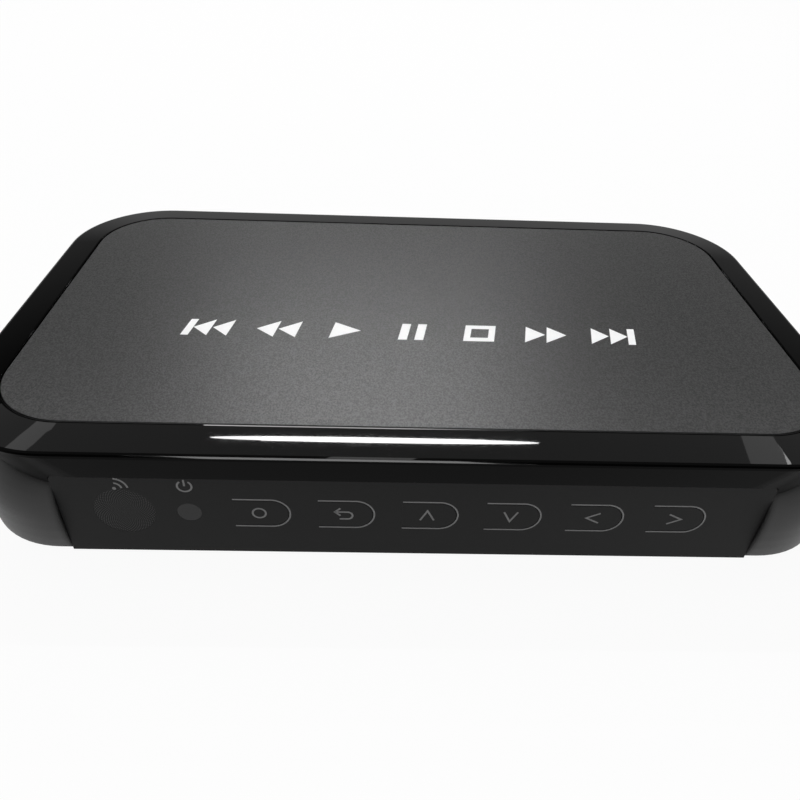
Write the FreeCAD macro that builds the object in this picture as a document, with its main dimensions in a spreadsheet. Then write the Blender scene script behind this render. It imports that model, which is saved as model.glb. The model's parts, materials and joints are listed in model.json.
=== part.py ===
# Desktop media player with a hard drive tray that loads from the rear.
#
# The housing is a barrel-sided lower shell, a glossy frame with a wide shallow bevel, a matt plate
# let into that frame, and two flat end panels. Six keys are tongues that flex out of the front
# panel and press tact switches. The tray carries a 2.5 inch drive and slides out towards +Y once
# its captive screw is undone.
#
# Millimetres. X runs to the right as the front is faced, Y to the rear, Z up. The origin is on the
# resting plane under the middle of the housing. Sub-parts are drawn with Z measured from the
# shell's underside and lifted by the feet in their Placement.

import FreeCAD
import Part
import math
import os
import re
import Sketcher

V = FreeCAD.Vector

SIZES = [
    # housing, levels measured from the shell's underside
    ("width", 211.0, "overall width, sharp crease to sharp crease"),
    ("front_room", 17.75, "front panel's face to the drive: keys, their board and the drive's socket"),
    ("foot_height", 1.8, "how far the feet hold the shell off the table"),
    ("seam_level", 20.5, "parting line between shell and frame"),
    ("belly_level", 10.5, "widest level of the barrel-sided shell"),
    ("crease_level", 30.8, "sharp outer edge of the frame"),
    ("rim_level", 31.9, "top of the bevel and of the plate"),
    ("base_inset", 1.7, "shell outline inside the crease, at the base"),
    ("belly_inset", 0.4, "shell outline inside the crease, at the belly"),
    ("seam_inset", 0.8, "shell and frame outline inside the crease, at the seam"),
    ("base_chamfer", 0.7, "chamfer round the underside"),
    ("base_radius", 22.0, "plan corner radius at the base"),
    ("belly_radius", 25.0, "plan corner radius at the belly"),
    ("seam_radius", 36.0, "plan corner radius at the seam"),
    ("corner_radius", 26.5, "plan corner radius at the crease"),
    ("rim_radius", 18.6, "plan corner radius of the plate opening"),
    ("bevel_width", 9.4, "crease to the plate's opening, in plan"),
    ("rim_land", 0.4, "flat strip between the bevel and that opening"),
    ("crease_round", 1.0, "rounding of the crease"),
    ("wall", 1.8, "wall of the shell and the frame"),
    ("floor_thick", 2.0, "floor of the shell"),
    ("fit_gap", 0.15, "gap round a piece seated in an opening"),
    ("seat_gap", 0.03, "round a lens pressed into its seat"),
    ("cut_past", 1.0, "how far a cut runs past the face it opens"),
    ("plate_thick", 1.6, "matt top plate"),
    ("plate_round", 0.3, "rounding of the plate's upper edge"),
    ("ledge_width", 4.0, "ledge that carries the plate"),
    ("ledge_thick", 1.6, "thickness of that ledge"),
    ("rib_deep", 1.2, "ribs under the plate"),
    ("rib_thin", 1.0, "ribs under the plate, across"),
    ("long_rib", 18.0, "long ribs from the middle"),
    ("cross_rib", 60.0, "cross ribs, one to the next"),
    ("lip_height", 1.4, "locating lip above the seam"),
    ("lip_thick", 0.8, "locating lip, across"),
    ("opening_depth", 7.5, "end openings above the floor, front to back"),
    # end panels
    ("panel_setback", 1.6, "end panel faces inside the overall depth"),
    ("panel_width", 158.0, "end panels, across"),
    ("panel_height", 24.0, "top edge of the end panels"),
    ("panel_thick", 1.5, "end panels"),
    ("panel_corner", 2.0, "upper corners of the end panels"),
    ("flange_thick", 1.0, "flange behind the panel edges"),
    ("flange_reach", 2.0, "flange beyond the panel edges"),
    ("flange_low", 6.0, "lower end of the side flanges"),
    ("flange_high", 13.0, "upper end of the side flanges"),
    ("flange_inset", 3.0, "ends of the top flange inside the panel's ends"),
    # keys and the board behind them
    ("key_pitch", 18.75, "key to key"),
    ("first_key", -40.7, "root of the first key"),
    ("key_length", 12.3, "key, root to tip"),
    ("key_height", 8.0, "key, top to bottom"),
    ("key_level", 12.95, "centre line of the keys, window and lamp"),
    ("key_gap", 0.2, "slot round a key"),
    ("nub_offset", 7.5, "key root to its nub"),
    ("nub_radius", 1.2, "nub behind a key"),
    ("nub_length", 1.6, "nub behind a key"),
    ("switch_gap", 0.1, "nub to plunger at rest"),
    ("plunger_half", 1.5, "half a switch plunger, square"),
    ("plunger_proud", 0.6, "plunger out of its switch"),
    ("plunger_depth", 0.8, "plunger inside its switch"),
    ("plunger_travel", 0.3, "switch stroke"),
    ("switch_side", 6.0, "tact switch, square"),
    ("switch_deep", 3.3, "tact switch body, front to back"),
    ("running_gap", 0.1, "round a plunger in its switch"),
    ("key_board_thick", 1.2, "circuit board behind the keys"),
    ("cable_place", 50.0, "flat cable to the key board, across"),
    ("cable_width", 10.0, "flat cable"),
    ("cable_thick", 0.3, "flat cable"),
    ("cable_bend", 2.0, "bend of the flat cable"),
    ("cable_sink", 0.5, "flat cable below the keys' centre line"),
    ("cable_drop", 4.7, "flat cable's foot behind the main board's front edge"),
    ("plug_half", 1.5, "half a flat cable socket"),
    ("plug_edge", 1.0, "flat cable socket beyond the cable"),
    ("foot_plug", 2.4, "flat cable socket on the main board"),
    ("plug_thick", 1.6, "flat cable socket on the key board"),
    ("key_board_left", -71.0, "left end of that board"),
    ("key_board_right", 69.0, "right end of that board"),
    ("key_board_low", 6.5, "lower edge of that board"),
    ("key_board_high", 23.0, "upper edge of that board"),
    ("post_level", 20.4, "posts that carry the key board"),
    ("post_radius", 2.3, "posts that carry the key board"),
    ("post_left", -57.5, "left post"),
    ("post_middle", 5.0, "middle post"),
    ("post_right", 66.0, "right post"),
    ("post_hole", 4.0, "screw holes in those posts"),
    ("post_bite", 3.5, "screws in those posts"),
    ("window_place", -64.7, "remote control window, across"),
    ("window_radius", 6.7, "remote control window"),
    ("lamp_place", -50.5, "power lamp, across"),
    ("lamp_radius", 2.7, "power lamp lens"),
    ("pipe_radius", 1.9, "light pipe behind the lamp lens"),
    ("pipe_length", 1.2, "light pipe behind the lamp lens"),
    ("led_radius", 1.5, "power lamp"),
    ("led_length", 3.6, "power lamp"),
    ("receiver_width", 5.2, "remote control receiver"),
    ("receiver_height", 7.0, "remote control receiver"),
    ("receiver_thick", 2.6, "remote control receiver"),
    ("dome_radius", 2.0, "dome of the receiver"),
    ("dome_height", 1.4, "dome of the receiver"),
    ("dome_edge", 0.8, "chamfer of the dome"),
    # boards and sockets
    ("board_level", 3.6, "underside of the main board"),
    ("board_thick", 1.6, "main board"),
    ("board_left", 16.0, "main board beside the bay"),
    ("board_right", 80.0, "right edge of the main board"),
    ("board_end", 57.5, "rear edge of the main board"),
    ("strip_left", -76.0, "left end of the strip that carries the drive socket"),
    ("strip_gap", 1.3, "key board to main board"),
    ("screw_edge", 5.0, "board screws from the board's edges"),
    ("screw_rear", 22.0, "rear board screws from the rear edge"),
    ("strip_screw", 3.6, "strip's screw from its front edge"),
    ("processor_x", 48.0, "processor, across"),
    ("processor_y", -6.0, "processor, front to back"),
    ("processor_side", 21.0, "processor"),
    ("processor_thick", 1.8, "processor"),
    ("sink_side", 28.0, "heat sink"),
    ("sink_plate", 2.0, "heat sink's plate"),
    ("fin_height", 7.0, "heat sink's fins"),
    ("fin_thick", 1.0, "heat sink's fins"),
    ("fin_pitch", 2.7, "fin to fin"),
    ("fin_count", 11, "heat sink's fins"),
    ("memory_width", 8.0, "memory chip"),
    ("memory_length", 12.4, "memory chip"),
    ("memory_thick", 1.1, "memory chip"),
    ("memory_reach", 20.0, "memory chips from the processor, across"),
    ("memory_spread", 8.0, "memory chips from the processor, front to back"),
    ("can_radius", 3.15, "capacitor"),
    ("can_height", 8.0, "capacitor"),
    ("coil_side", 7.0, "inductor"),
    ("coil_height", 4.0, "inductor"),
    ("crystal_length", 11.0, "crystal"),
    ("crystal_width", 4.5, "crystal"),
    ("crystal_height", 3.6, "crystal"),
    ("crystal_y", 15.75, "crystal, front to back"),
    ("power_place", 21.0, "power inlet, across"),
    ("power_level", 6.5, "power inlet axis above the board"),
    ("power_bore", 3.15, "power inlet bore radius"),
    ("power_pin", 1.0, "power inlet pin radius"),
    ("inlet_width", 9.0, "power inlet"),
    ("inlet_length", 13.5, "power inlet"),
    ("inlet_height", 11.0, "power inlet"),
    ("inlet_wall", 1.0, "power inlet's nose round its bore"),
    ("inlet_depth", 10.0, "power inlet's bore"),
    ("pin_back", 1.2, "power inlet's pin behind the panel face"),
    ("audio_place", 32.0, "first 3.5 mm jack, across"),
    ("audio_pitch", 9.5, "3.5 mm jack to jack"),
    ("audio_level", 4.0, "3.5 mm jack axis above the board"),
    ("audio_bore", 1.8, "3.5 mm jack bore radius"),
    ("audio_depth", 14.0, "3.5 mm jack bore depth"),
    ("jack_width", 6.4, "3.5 mm jack"),
    ("jack_length", 14.0, "3.5 mm jack"),
    ("jack_height", 7.4, "3.5 mm jack"),
    ("jack_wall", 1.2, "3.5 mm jack's nose round its bore"),
    ("hdmi_place", 55.0, "display socket, across"),
    ("hdmi_width", 15.0, "display socket"),
    ("hdmi_height", 6.2, "display socket"),
    ("hdmi_depth", 11.5, "display socket"),
    ("hdmi_slant", 2.2, "slanted lower corners of the display socket"),
    ("hdmi_blade", 10.8, "display socket's tongue, across"),
    ("hdmi_blade_thick", 1.4, "display socket's tongue"),
    ("blade_back", 1.5, "socket tongues behind the panel face"),
    ("usb_place", 71.0, "double serial bus socket, across"),
    ("usb_width", 13.2, "double serial bus socket"),
    ("usb_height", 15.4, "double serial bus socket"),
    ("usb_depth", 17.5, "double serial bus socket"),
    ("usb_port", 5.1, "one serial bus port, height"),
    ("usb_blade", 11.0, "serial bus tongue, across"),
    ("usb_blade_thick", 1.8, "serial bus tongue"),
    ("usb_blade_rise", 2.7, "serial bus tongue above its port's floor"),
    ("sheet_thick", 0.4, "pressed metal of the sockets"),
    ("socket_gap", 0.3, "panel opening round a socket"),
    # drive bay, tray and drive
    ("bay_place", -39.0, "middle of the bay, across"),
    ("drive_width", 69.85, "2.5 inch drive"),
    ("drive_length", 100.2, "2.5 inch drive"),
    ("drive_height", 9.5, "2.5 inch drive"),
    ("drive_hole_across", 61.72, "drive mounting holes, across"),
    ("drive_hole_first", 14.0, "first mounting hole from the plug end"),
    ("drive_hole_pitch", 76.6, "mounting hole to mounting hole"),
    ("drive_screw", 1.25, "drive screws"),
    ("drive_head", 2.6, "drive screw heads"),
    ("drive_head_height", 0.9, "drive screw heads"),
    ("drive_bite", 2.8, "drive screws in the drive"),
    ("drive_corner", 3.0, "plan corners of the drive"),
    ("cover_thick", 0.6, "drive's cover"),
    ("cover_margin", 1.0, "drive's cover inside its base"),
    ("dish_radius", 30.0, "pressed dish over the platters"),
    ("dish_place", 36.0, "dish from the drive's rear end"),
    ("dish_depth", 0.25, "pressed dish"),
    ("hub_radius", 9.0, "raised hub in the dish"),
    ("logic_half", 27.0, "half the recess for the drive's circuit board"),
    ("logic_front", 8.0, "that recess from the plug end"),
    ("logic_length", 54.0, "that recess"),
    ("logic_depth", 1.6, "that recess"),
    ("logic_lift", 0.6, "drive's circuit board above its underside"),
    ("logic_thick", 1.0, "drive's circuit board"),
    ("plug_half_width", 17.0, "half the notch for the drive's plug"),
    ("plug_length", 6.0, "notch for the drive's plug"),
    ("plug_height", 4.8, "notch for the drive's plug"),
    ("mouth_half", 16.0, "half the plug's mouth"),
    ("mouth_low", 0.8, "plug's mouth above the main board"),
    ("mouth_height", 2.8, "plug's mouth"),
    ("mouth_depth", 4.6, "plug's mouth"),
    ("nest_width", 40.0, "drive socket"),
    ("nest_height", 5.0, "drive socket"),
    ("nest_setback", 0.8, "drive socket behind the strip's front edge"),
    ("nose_width", 31.0, "drive socket's nose"),
    ("nose_length", 4.2, "drive socket's nose"),
    ("nose_low", 1.2, "drive socket's nose above the main board"),
    ("nose_thick", 2.0, "drive socket's nose"),
    ("sled_thick", 1.2, "tray sheet"),
    ("sled_side", 10.5, "tray side height"),
    ("sled_level", 3.6, "underside of the tray"),
    ("sled_back", 3.0, "tray's front end behind the drive's"),
    ("sled_window", 24.0, "half the opening in the tray's floor"),
    ("window_front", 20.0, "that opening from the tray's front end"),
    ("window_rear", 22.0, "that opening from the tray's rear flange"),
    ("window_corner", 4.0, "corners of that opening"),
    ("flange_window", 28.0, "half the opening in the tray's rear flange"),
    ("flange_margin", 3.0, "rear flange above and below that opening"),
    ("drive_gap", 0.25, "drive to tray side"),
    ("rib_gap", 0.2, "tray over its runner ribs"),
    ("rib_width", 3.0, "runner rib"),
    ("rib_place", 20.0, "runner rib from the middle of the bay"),
    ("rib_front", 4.0, "runner ribs behind the drive's front end"),
    ("rib_end", 8.0, "runner ribs from the rear"),
    ("cage_gap", 0.4, "tray to cage"),
    ("cage_thick", 0.8, "cage sheet"),
    ("cage_level", 4.0, "underside of the cage feet"),
    ("cage_foot", 6.0, "cage foot width"),
    ("cage_half", 42.0, "half the cage's length"),
    ("cage_screw", 34.0, "cage screws from the middle"),
    ("cage_slot_half", 26.0, "half an air slot in the cage's roof"),
    ("cage_slot", 3.0, "air slot in the cage's roof, across"),
    ("cage_slot_first", 8.0, "first air slot from the cage's end"),
    ("cage_slot_pitch", 8.0, "air slot to air slot"),
    ("cage_slots", 9, "air slots in the cage's roof"),
    ("door_thick", 2.0, "tray door"),
    ("door_low", 2.6, "lower edge of the tray door"),
    ("door_high", 17.2, "upper edge of the tray door"),
    ("door_margin", 1.0, "door beyond the tray's left side"),
    ("door_corner", 1.0, "corners of the tray door"),
    ("door_slot", 1.8, "air slot in the door, across"),
    ("door_slot_low", 7.1, "air slots in the door, lower ends"),
    ("door_slot_high", 11.1, "air slots in the door, upper ends"),
    ("door_slot_pitch", 4.5, "air slot to air slot"),
    ("door_slots", 12, "air slots in the door"),
    ("knob_place", 6.0, "captive screw, across"),
    ("knob_level", 9.9, "captive screw, up"),
    ("knob_radius", 5.2, "knurled head"),
    ("knob_gap", 0.7, "head in its cup"),
    ("knob_length", 5.4, "knurled head"),
    ("knob_lift", 0.2, "knurled head off the cup's floor"),
    ("knob_edge", 0.6, "chamfer of the knurled head"),
    ("knurl_depth", 0.4, "grooves of the knurl"),
    ("knurl_half", 0.6, "half a groove of the knurl"),
    ("knurl_count", 20, "grooves of the knurl"),
    ("coin_slot", 1.0, "slot across the head"),
    ("coin_depth", 0.8, "slot across the head"),
    ("cup_depth", 5.0, "cup in the door round the head"),
    ("cup_wall", 1.2, "wall of that cup"),
    ("shank_radius", 1.5, "captive screw shank"),
    ("shank_gap", 0.3, "captive screw in the door"),
    ("shank_length", 6.8, "captive screw shank beyond the cup"),
    ("insert_radius", 2.3, "brass insert"),
    ("insert_length", 7.0, "brass insert"),
    ("post_wall", 2.2, "post round the insert"),
    ("post_end", 1.0, "post behind the insert"),
    # fixings
    ("boss_side", 11.5, "housing screws from the sides"),
    ("boss_end", 24.0, "housing screws from the front and the rear"),
    ("boss_radius", 4.0, "housing screw boss"),
    ("screw_radius", 1.4, "housing screw"),
    ("head_radius", 2.7, "housing screw head"),
    ("head_depth", 3.0, "recess for that head"),
    ("head_height", 2.0, "housing screw head"),
    ("screw_reach", 7.0, "housing screws above the seam"),
    ("pilot_spare", 0.5, "pilot holes beyond those screws"),
    ("hang_slim", 0.5, "frame's bosses slimmer than the shell's"),
    ("small_screw", 1.0, "board and cage screws"),
    ("small_head", 2.0, "board and cage screw heads"),
    ("small_head_height", 1.2, "board and cage screw heads"),
    ("screw_slack", 0.05, "threaded screw in its pilot hole"),
    ("small_boss", 3.0, "board and cage bosses"),
    ("screw_gap", 0.2, "screw in its clearance hole"),
    ("foot_side", 21.0, "feet from the sides"),
    ("foot_end", 18.0, "feet from the front and the rear"),
    ("foot_radius", 6.0, "foot"),
    ("foot_edge", 0.6, "chamfer of a foot"),
    ("vent_count", 12, "slots under the main board"),
    ("vent_pitch", 4.5, "slot to slot"),
    ("vent_width", 1.8, "slot across"),
    ("vent_length", 26.0, "slot front to back"),
    ("vent_first", 24.0, "first slot, across"),
]

doc = FreeCAD.newDocument("media_player")
sheet = doc.addObject("Spreadsheet::Sheet", "sizes")
for row, (alias, value, meaning) in enumerate(SIZES, 1):
    sheet.set(f"A{row}", alias)
    sheet.set(f"B{row}", str(value))
    sheet.setAlias(f"B{row}", alias)
    sheet.set(f"C{row}", meaning)
doc.recompute()

ALIAS = re.compile(r"\b(" + "|".join(alias for alias, _, _ in SIZES) + r")\b")

# faces and levels that several pieces share, as expressions of the sheet
TRAY_LENGTH = "(door_thick + sled_thick + fit_gap + drive_length)"
DEPTH = f"(2 * panel_setback + {TRAY_LENGTH} + front_room)"
FRONT = f"(-{DEPTH} / 2 + panel_setback)"
FRONT_BACK = f"({FRONT} + panel_thick)"
REAR = f"({DEPTH} / 2 - panel_setback)"
REAR_BACK = f"({REAR} - panel_thick)"
NUB_END = f"({FRONT_BACK} + nub_length)"
PLUNGER_TIP = f"({NUB_END} + switch_gap)"
SWITCH_FACE = f"({PLUNGER_TIP} + plunger_proud)"
KEY_BOARD_FRONT = f"({SWITCH_FACE} + switch_deep)"
KEY_BOARD_BACK = f"({KEY_BOARD_FRONT} + key_board_thick)"
STRIP_FRONT = f"({KEY_BOARD_BACK} + strip_gap)"
BOARD_TOP = "(board_level + board_thick)"
LEAN = "(seam_inset / (crease_level - seam_level))"
RISE = "((rim_level - crease_level) / (bevel_width - rim_land))"
ROOF = "(rim_level - plate_thick - ledge_thick)"
PLATE_BACK = "(rim_level - plate_thick)"
SLED_HALF = "(drive_width / 2 + drive_gap + sled_thick)"
CAGE_HALF = f"({SLED_HALF} + cage_gap)"
DRIVE_LEVEL = "(sled_level + sled_thick)"
DRIVE_TOP = f"({DRIVE_LEVEL} + drive_height)"
CAGE_ROOF = f"({DRIVE_TOP} + cage_gap + socket_gap)"
DOOR_BACK = f"({REAR} - door_thick)"
SLED_END = f"({DOOR_BACK} - sled_thick)"
DRIVE_END = f"({SLED_END} - fit_gap)"
DRIVE_FRONT = f"({DRIVE_END} - drive_length)"
CABLE_LEVEL = "(key_level - cable_sink)"
CABLE_END = f"({STRIP_FRONT} + cable_drop)"
CUP_RADIUS = "(knob_radius + knob_gap)"
CUP_BACK = f"({REAR} - cup_depth - cup_wall)"
DOOR_LEFT = f"(bay_place - {SLED_HALF} - door_margin)"
DOOR_RIGHT = f"(knob_place + {CUP_RADIUS} + cup_wall + door_margin)"


def number(expression):
    """Present value of an expression of the sheet."""
    return float(sheet.evalExpression(str(expression)))


def bind(item, prop, expression):
    """Tie a property to the sheet."""
    item.setExpression(prop, ALIAS.sub(r"sizes.\1", str(expression)))


def new_body(label, lifted=True):
    """A sub-part, lifted onto the feet."""
    body = doc.addObject("PartDesign::Body", label)
    body.Label = label
    body.AllowCompound = True
    if lifted:
        bind(body, ".Placement.Base.z", "foot_height")
    return body


def origin_feature(body, role):
    return next(item for item in body.Origin.OriginFeatures if item.Role == role)


def sketch(body, plane="XY", level="0"):
    """An empty sketch on one of the body's planes, moved along that plane's axis to a level."""
    made = body.newObject("Sketcher::SketchObject", "outline")
    made.AttachmentSupport = [(origin_feature(body, plane + "_Plane"), "")]
    made.MapMode = "FlatFace"
    side = "-1 * " if plane == "XZ" else ""
    bind(made, ".AttachmentOffset.Base.z", f"{side}({level})")
    return made


def constrain(made, kind, *where, to=None):
    """Add one constraint, tied to the sheet when it has a size."""
    if to is None:
        made.addConstraint(Sketcher.Constraint(kind, *where))
        return
    index = made.addConstraint(Sketcher.Constraint(kind, *where, number(to)))
    bind(made, f"Constraints[{index}]", to)


def polygon(made, points):
    """A closed outline of straight lines through points given as pairs of expressions."""
    places = [V(number(x), number(y)) for x, y in points]
    count = len(points)
    lines = [
        made.addGeometry(Part.LineSegment(places[k], places[(k + 1) % count]), False)
        for k in range(count)
    ]
    for k in range(count):
        constrain(made, "Coincident", lines[k], 2, lines[(k + 1) % count], 1)
    for line, (x, y) in zip(lines, points):
        constrain(made, "DistanceX", -1, 1, line, 1, to=x)
        constrain(made, "DistanceY", -1, 1, line, 1, to=y)


def rectangle(made, left, right, low, high):
    polygon(made, [(left, low), (right, low), (right, high), (left, high)])


def square(made, x, y, half):
    rectangle(made, f"{x} - ({half})", f"{x} + ({half})", f"{y} - ({half})", f"{y} + ({half})")


def rounded(made, left, right, low, high, radius):
    """A rectangle with four equal round corners."""
    x0, x1, y0, y1, r = (number(size) for size in (left, right, low, high, radius))
    corners = [
        (V(x1 - r, y0 + r), -90),
        (V(x1 - r, y1 - r), 0),
        (V(x0 + r, y1 - r), 90),
        (V(x0 + r, y0 + r), 180),
    ]
    runs = [
        (V(x0 + r, y0), V(x1 - r, y0)),
        (V(x1, y0 + r), V(x1, y1 - r)),
        (V(x1 - r, y1), V(x0 + r, y1)),
        (V(x0, y1 - r), V(x0, y0 + r)),
    ]
    lines = []
    arcs = []
    for (centre, start), run in zip(corners, runs):
        circle_of_corner = Part.Circle(centre, V(0, 0, 1), r)
        turn = (math.radians(start), math.radians(start + 90))
        lines.append(made.addGeometry(Part.LineSegment(*run), False))
        arcs.append(made.addGeometry(Part.ArcOfCircle(circle_of_corner, *turn), False))
    for k in range(4):
        constrain(made, "Tangent", lines[k], 2, arcs[k], 1)
        constrain(made, "Tangent", arcs[k], 2, lines[(k + 1) % 4], 1)
        constrain(made, "Vertical" if k % 2 else "Horizontal", lines[k])
    for arc in arcs[1:]:
        constrain(made, "Equal", arcs[0], arc)
    constrain(made, "Radius", arcs[0], to=radius)
    constrain(made, "DistanceX", -1, 1, lines[3], 1, to=left)
    constrain(made, "DistanceX", -1, 1, lines[1], 1, to=right)
    constrain(made, "DistanceY", -1, 1, lines[0], 1, to=low)
    constrain(made, "DistanceY", -1, 1, lines[2], 1, to=high)


def circle(made, x, y, radius):
    ring = made.addGeometry(Part.Circle(V(number(x), number(y)), V(0, 0, 1), number(radius)), False)
    constrain(made, "Radius", ring, to=radius)
    constrain(made, "DistanceX", -1, 1, ring, 3, to=x)
    constrain(made, "DistanceY", -1, 1, ring, 3, to=y)


def octagon(made, x, y, radius):
    """Eight sides in a circle: small screws, bosses and holes that the closed housing hides."""
    turns = [math.radians(22.5 + 45 * k) for k in range(8)]
    corners = [(math.cos(turn), math.sin(turn)) for turn in turns]
    polygon(made, [(f"{x} + ({radius}) * {i:.6f}", f"{y} + ({radius}) * {j:.6f}") for i, j in corners])


def tongue(made, left, right, low, high):
    """A D outline: straight root on the left, half-round tip on the right."""
    x0, x1, y0, y1 = (number(size) for size in (left, right, low, high))
    r = (y1 - y0) / 2
    tip = Part.Circle(V(x1 - r, y0 + r), V(0, 0, 1), r)
    root = made.addGeometry(Part.LineSegment(V(x0, y1), V(x0, y0)), False)
    lower = made.addGeometry(Part.LineSegment(V(x0, y0), V(x1 - r, y0)), False)
    arc = made.addGeometry(Part.ArcOfCircle(tip, -math.pi / 2, math.pi / 2), False)
    upper = made.addGeometry(Part.LineSegment(V(x1 - r, y1), V(x0, y1)), False)
    constrain(made, "Coincident", root, 2, lower, 1)
    constrain(made, "Coincident", upper, 2, root, 1)
    constrain(made, "Tangent", lower, 2, arc, 1)
    constrain(made, "Tangent", arc, 2, upper, 1)
    constrain(made, "Vertical", root)
    constrain(made, "Horizontal", lower)
    constrain(made, "Horizontal", upper)
    constrain(made, "DistanceX", -1, 1, root, 1, to=left)
    constrain(made, "DistanceX", -1, 1, arc, 3, to=f"({right}) - (({high}) - ({low})) / 2")
    constrain(made, "DistanceY", -1, 1, root, 2, to=low)
    constrain(made, "DistanceY", -1, 1, root, 1, to=high)


def extrude(made, length, cut=False, towards=1):
    """Pad or pocket a sketch along the positive or negative axis of its plane."""
    body = made.getParentGeoFeatureGroup()
    feature = body.newObject("PartDesign::Pocket" if cut else "PartDesign::Pad", "extrusion")
    feature.Profile = made
    bind(feature, "Length", length)
    normal = -1 if "XZ" in made.AttachmentSupport[0][0].Role else 1
    feature.Reversed = (towards == normal) if cut else (towards != normal)
    return feature


def block(body, left, right, front, rear, low, high, cut=False):
    """A rectangular pad or pocket between six faces."""
    made = sketch(body, "XY", low)
    rectangle(made, left, right, front, rear)
    return extrude(made, f"({high}) - ({low})", cut)


def discs(body, centres, radius, low, high, cut=False, plane="XY", drawn=circle):
    """Equal round pads or pockets along the plane's axis, between two levels."""
    made = sketch(body, plane, low)
    for x, y in centres:
        drawn(made, x, y, radius)
    return extrude(made, f"({high}) - ({low})", cut)


def loft(sections, cut=False, ruled=True):
    body = sections[0].getParentGeoFeatureGroup()
    kind = "PartDesign::SubtractiveLoft" if cut else "PartDesign::AdditiveLoft"
    feature = body.newObject(kind, "loft")
    feature.Profile = sections[0]
    feature.Sections = sections[1:]
    feature.Ruled = ruled
    return feature


def repeat(feature, axis, spacing, count):
    """Copies of a feature in a row, counted by making them the body's tip."""
    body = feature.getParentGeoFeatureGroup()
    row_of = body.newObject("PartDesign::LinearPattern", "row")
    row_of.Originals = [feature]
    row_of.Direction = (origin_feature(body, axis + "_Axis"), [""])
    row_of.Mode = "Spacing"
    bind(row_of, "Offset", spacing)
    bind(row_of, "Occurrences", count)
    body.Tip = row_of
    return row_of


def spin(feature, axis, count):
    """Copies of a feature round an axis of the body."""
    body = feature.getParentGeoFeatureGroup()
    ring = body.newObject("PartDesign::PolarPattern", "ring")
    ring.Originals = [feature]
    ring.Axis = (origin_feature(body, axis + "_Axis"), [""])
    ring.Angle = 360
    bind(ring, "Occurrences", count)
    body.Tip = ring
    return ring


def soften(body, radius, chosen, kind="PartDesign::Chamfer"):
    """Round or chamfer the edges of the body's tip that pass a test."""
    doc.recompute()
    base = body.Tip
    names = [f"Edge{k}" for k, edge in enumerate(base.Shape.Edges, 1) if chosen(edge)]
    feature = body.newObject(kind, "edges")
    feature.Base = (base, names)
    bind(feature, "Radius" if kind.endswith("Fillet") else "Size", radius)
    return feature


def at_level(edge, level, axis="z"):
    """Whether an edge lies in one level plane."""
    box = edge.BoundBox
    low, high = (getattr(box, axis.upper() + end) for end in ("Min", "Max"))
    return abs(low - level) < 1e-4 and abs(high - level) < 1e-4


def plan(made, inset, radius):
    """Add the housing's plan outline to a sketch, inset from the overall size."""
    across = f"(width / 2 - ({inset}))"
    along = f"({DEPTH} / 2 - ({inset}))"
    rounded(made, f"-{across}", across, f"-{along}", along, radius)


def outline(body, level, inset, radius):
    """The housing's plan outline at a level."""
    made = sketch(body, "XY", level)
    plan(made, inset, radius)
    return made


def four(side, end):
    """Four places, one at each corner, given by their distances from the sides and the ends."""
    x, y = f"(width / 2 - {side})", f"({DEPTH} / 2 - {end})"
    return [(f"{i} * {x}", f"{j} * {y}") for i in (-1, 1) for j in (-1, 1)]


HOUSING_SCREWS = four("boss_side", "boss_end")
FEET = four("foot_side", "foot_end")
BOARD_HOLES = [
    (x, y)
    for x in ("board_left + screw_edge", "board_right - screw_edge")
    for y in (f"{STRIP_FRONT} + screw_edge", "board_end - screw_rear")
]
BOARD_HOLES.append(("strip_left + screw_edge", f"{STRIP_FRONT} + strip_screw"))
CAGE_HOLES = [
    (f"bay_place + {side} * ({CAGE_HALF} + cage_thick + cage_foot / 2)", f"{end} * cage_screw")
    for side in (-1, 1)
    for end in (-1, 1)
]
POSTS = [(place, "post_level") for place in ("post_left", "post_middle", "post_right")]
AUDIO_PLACES = ["audio_place", "(audio_place + audio_pitch)"]
CAN_PLACES = [("22", "30"), ("30", "30"), ("38", "33"), ("68", "22")]
COIL_PLACES = [("24", "20"), ("34", "20")]
DRIVE_HOLES = [
    (f"bay_place + {side} * drive_hole_across / 2", f"{DRIVE_FRONT} + drive_hole_first + {step}")
    for side in (-1, 1)
    for step in ("0", "drive_hole_pitch")
]
KEY_NAMES = ["ok", "back", "up", "down", "left", "right"]


# the barrel's two ends: level, inset and corner radius, and the courses from the belly to each
BASE_END = ("base_chamfer", "base_inset", "base_radius")
SEAM_END = ("seam_level", "seam_inset", "seam_radius")
BASE_COURSES = 3
SEAM_COURSES = 6


def barrel(body, end, share):
    """The shell's plan outline part of the way from its belly to one of its ends."""
    level, inset, radius = (
        f"({belly} + ({at_end} - {belly}) * {amount})"
        for belly, at_end, amount in zip(
            ("belly_level", "belly_inset", "belly_radius"), end, (share, share**2, share**2)
        )
    )
    return outline(body, level, inset, radius)


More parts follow.
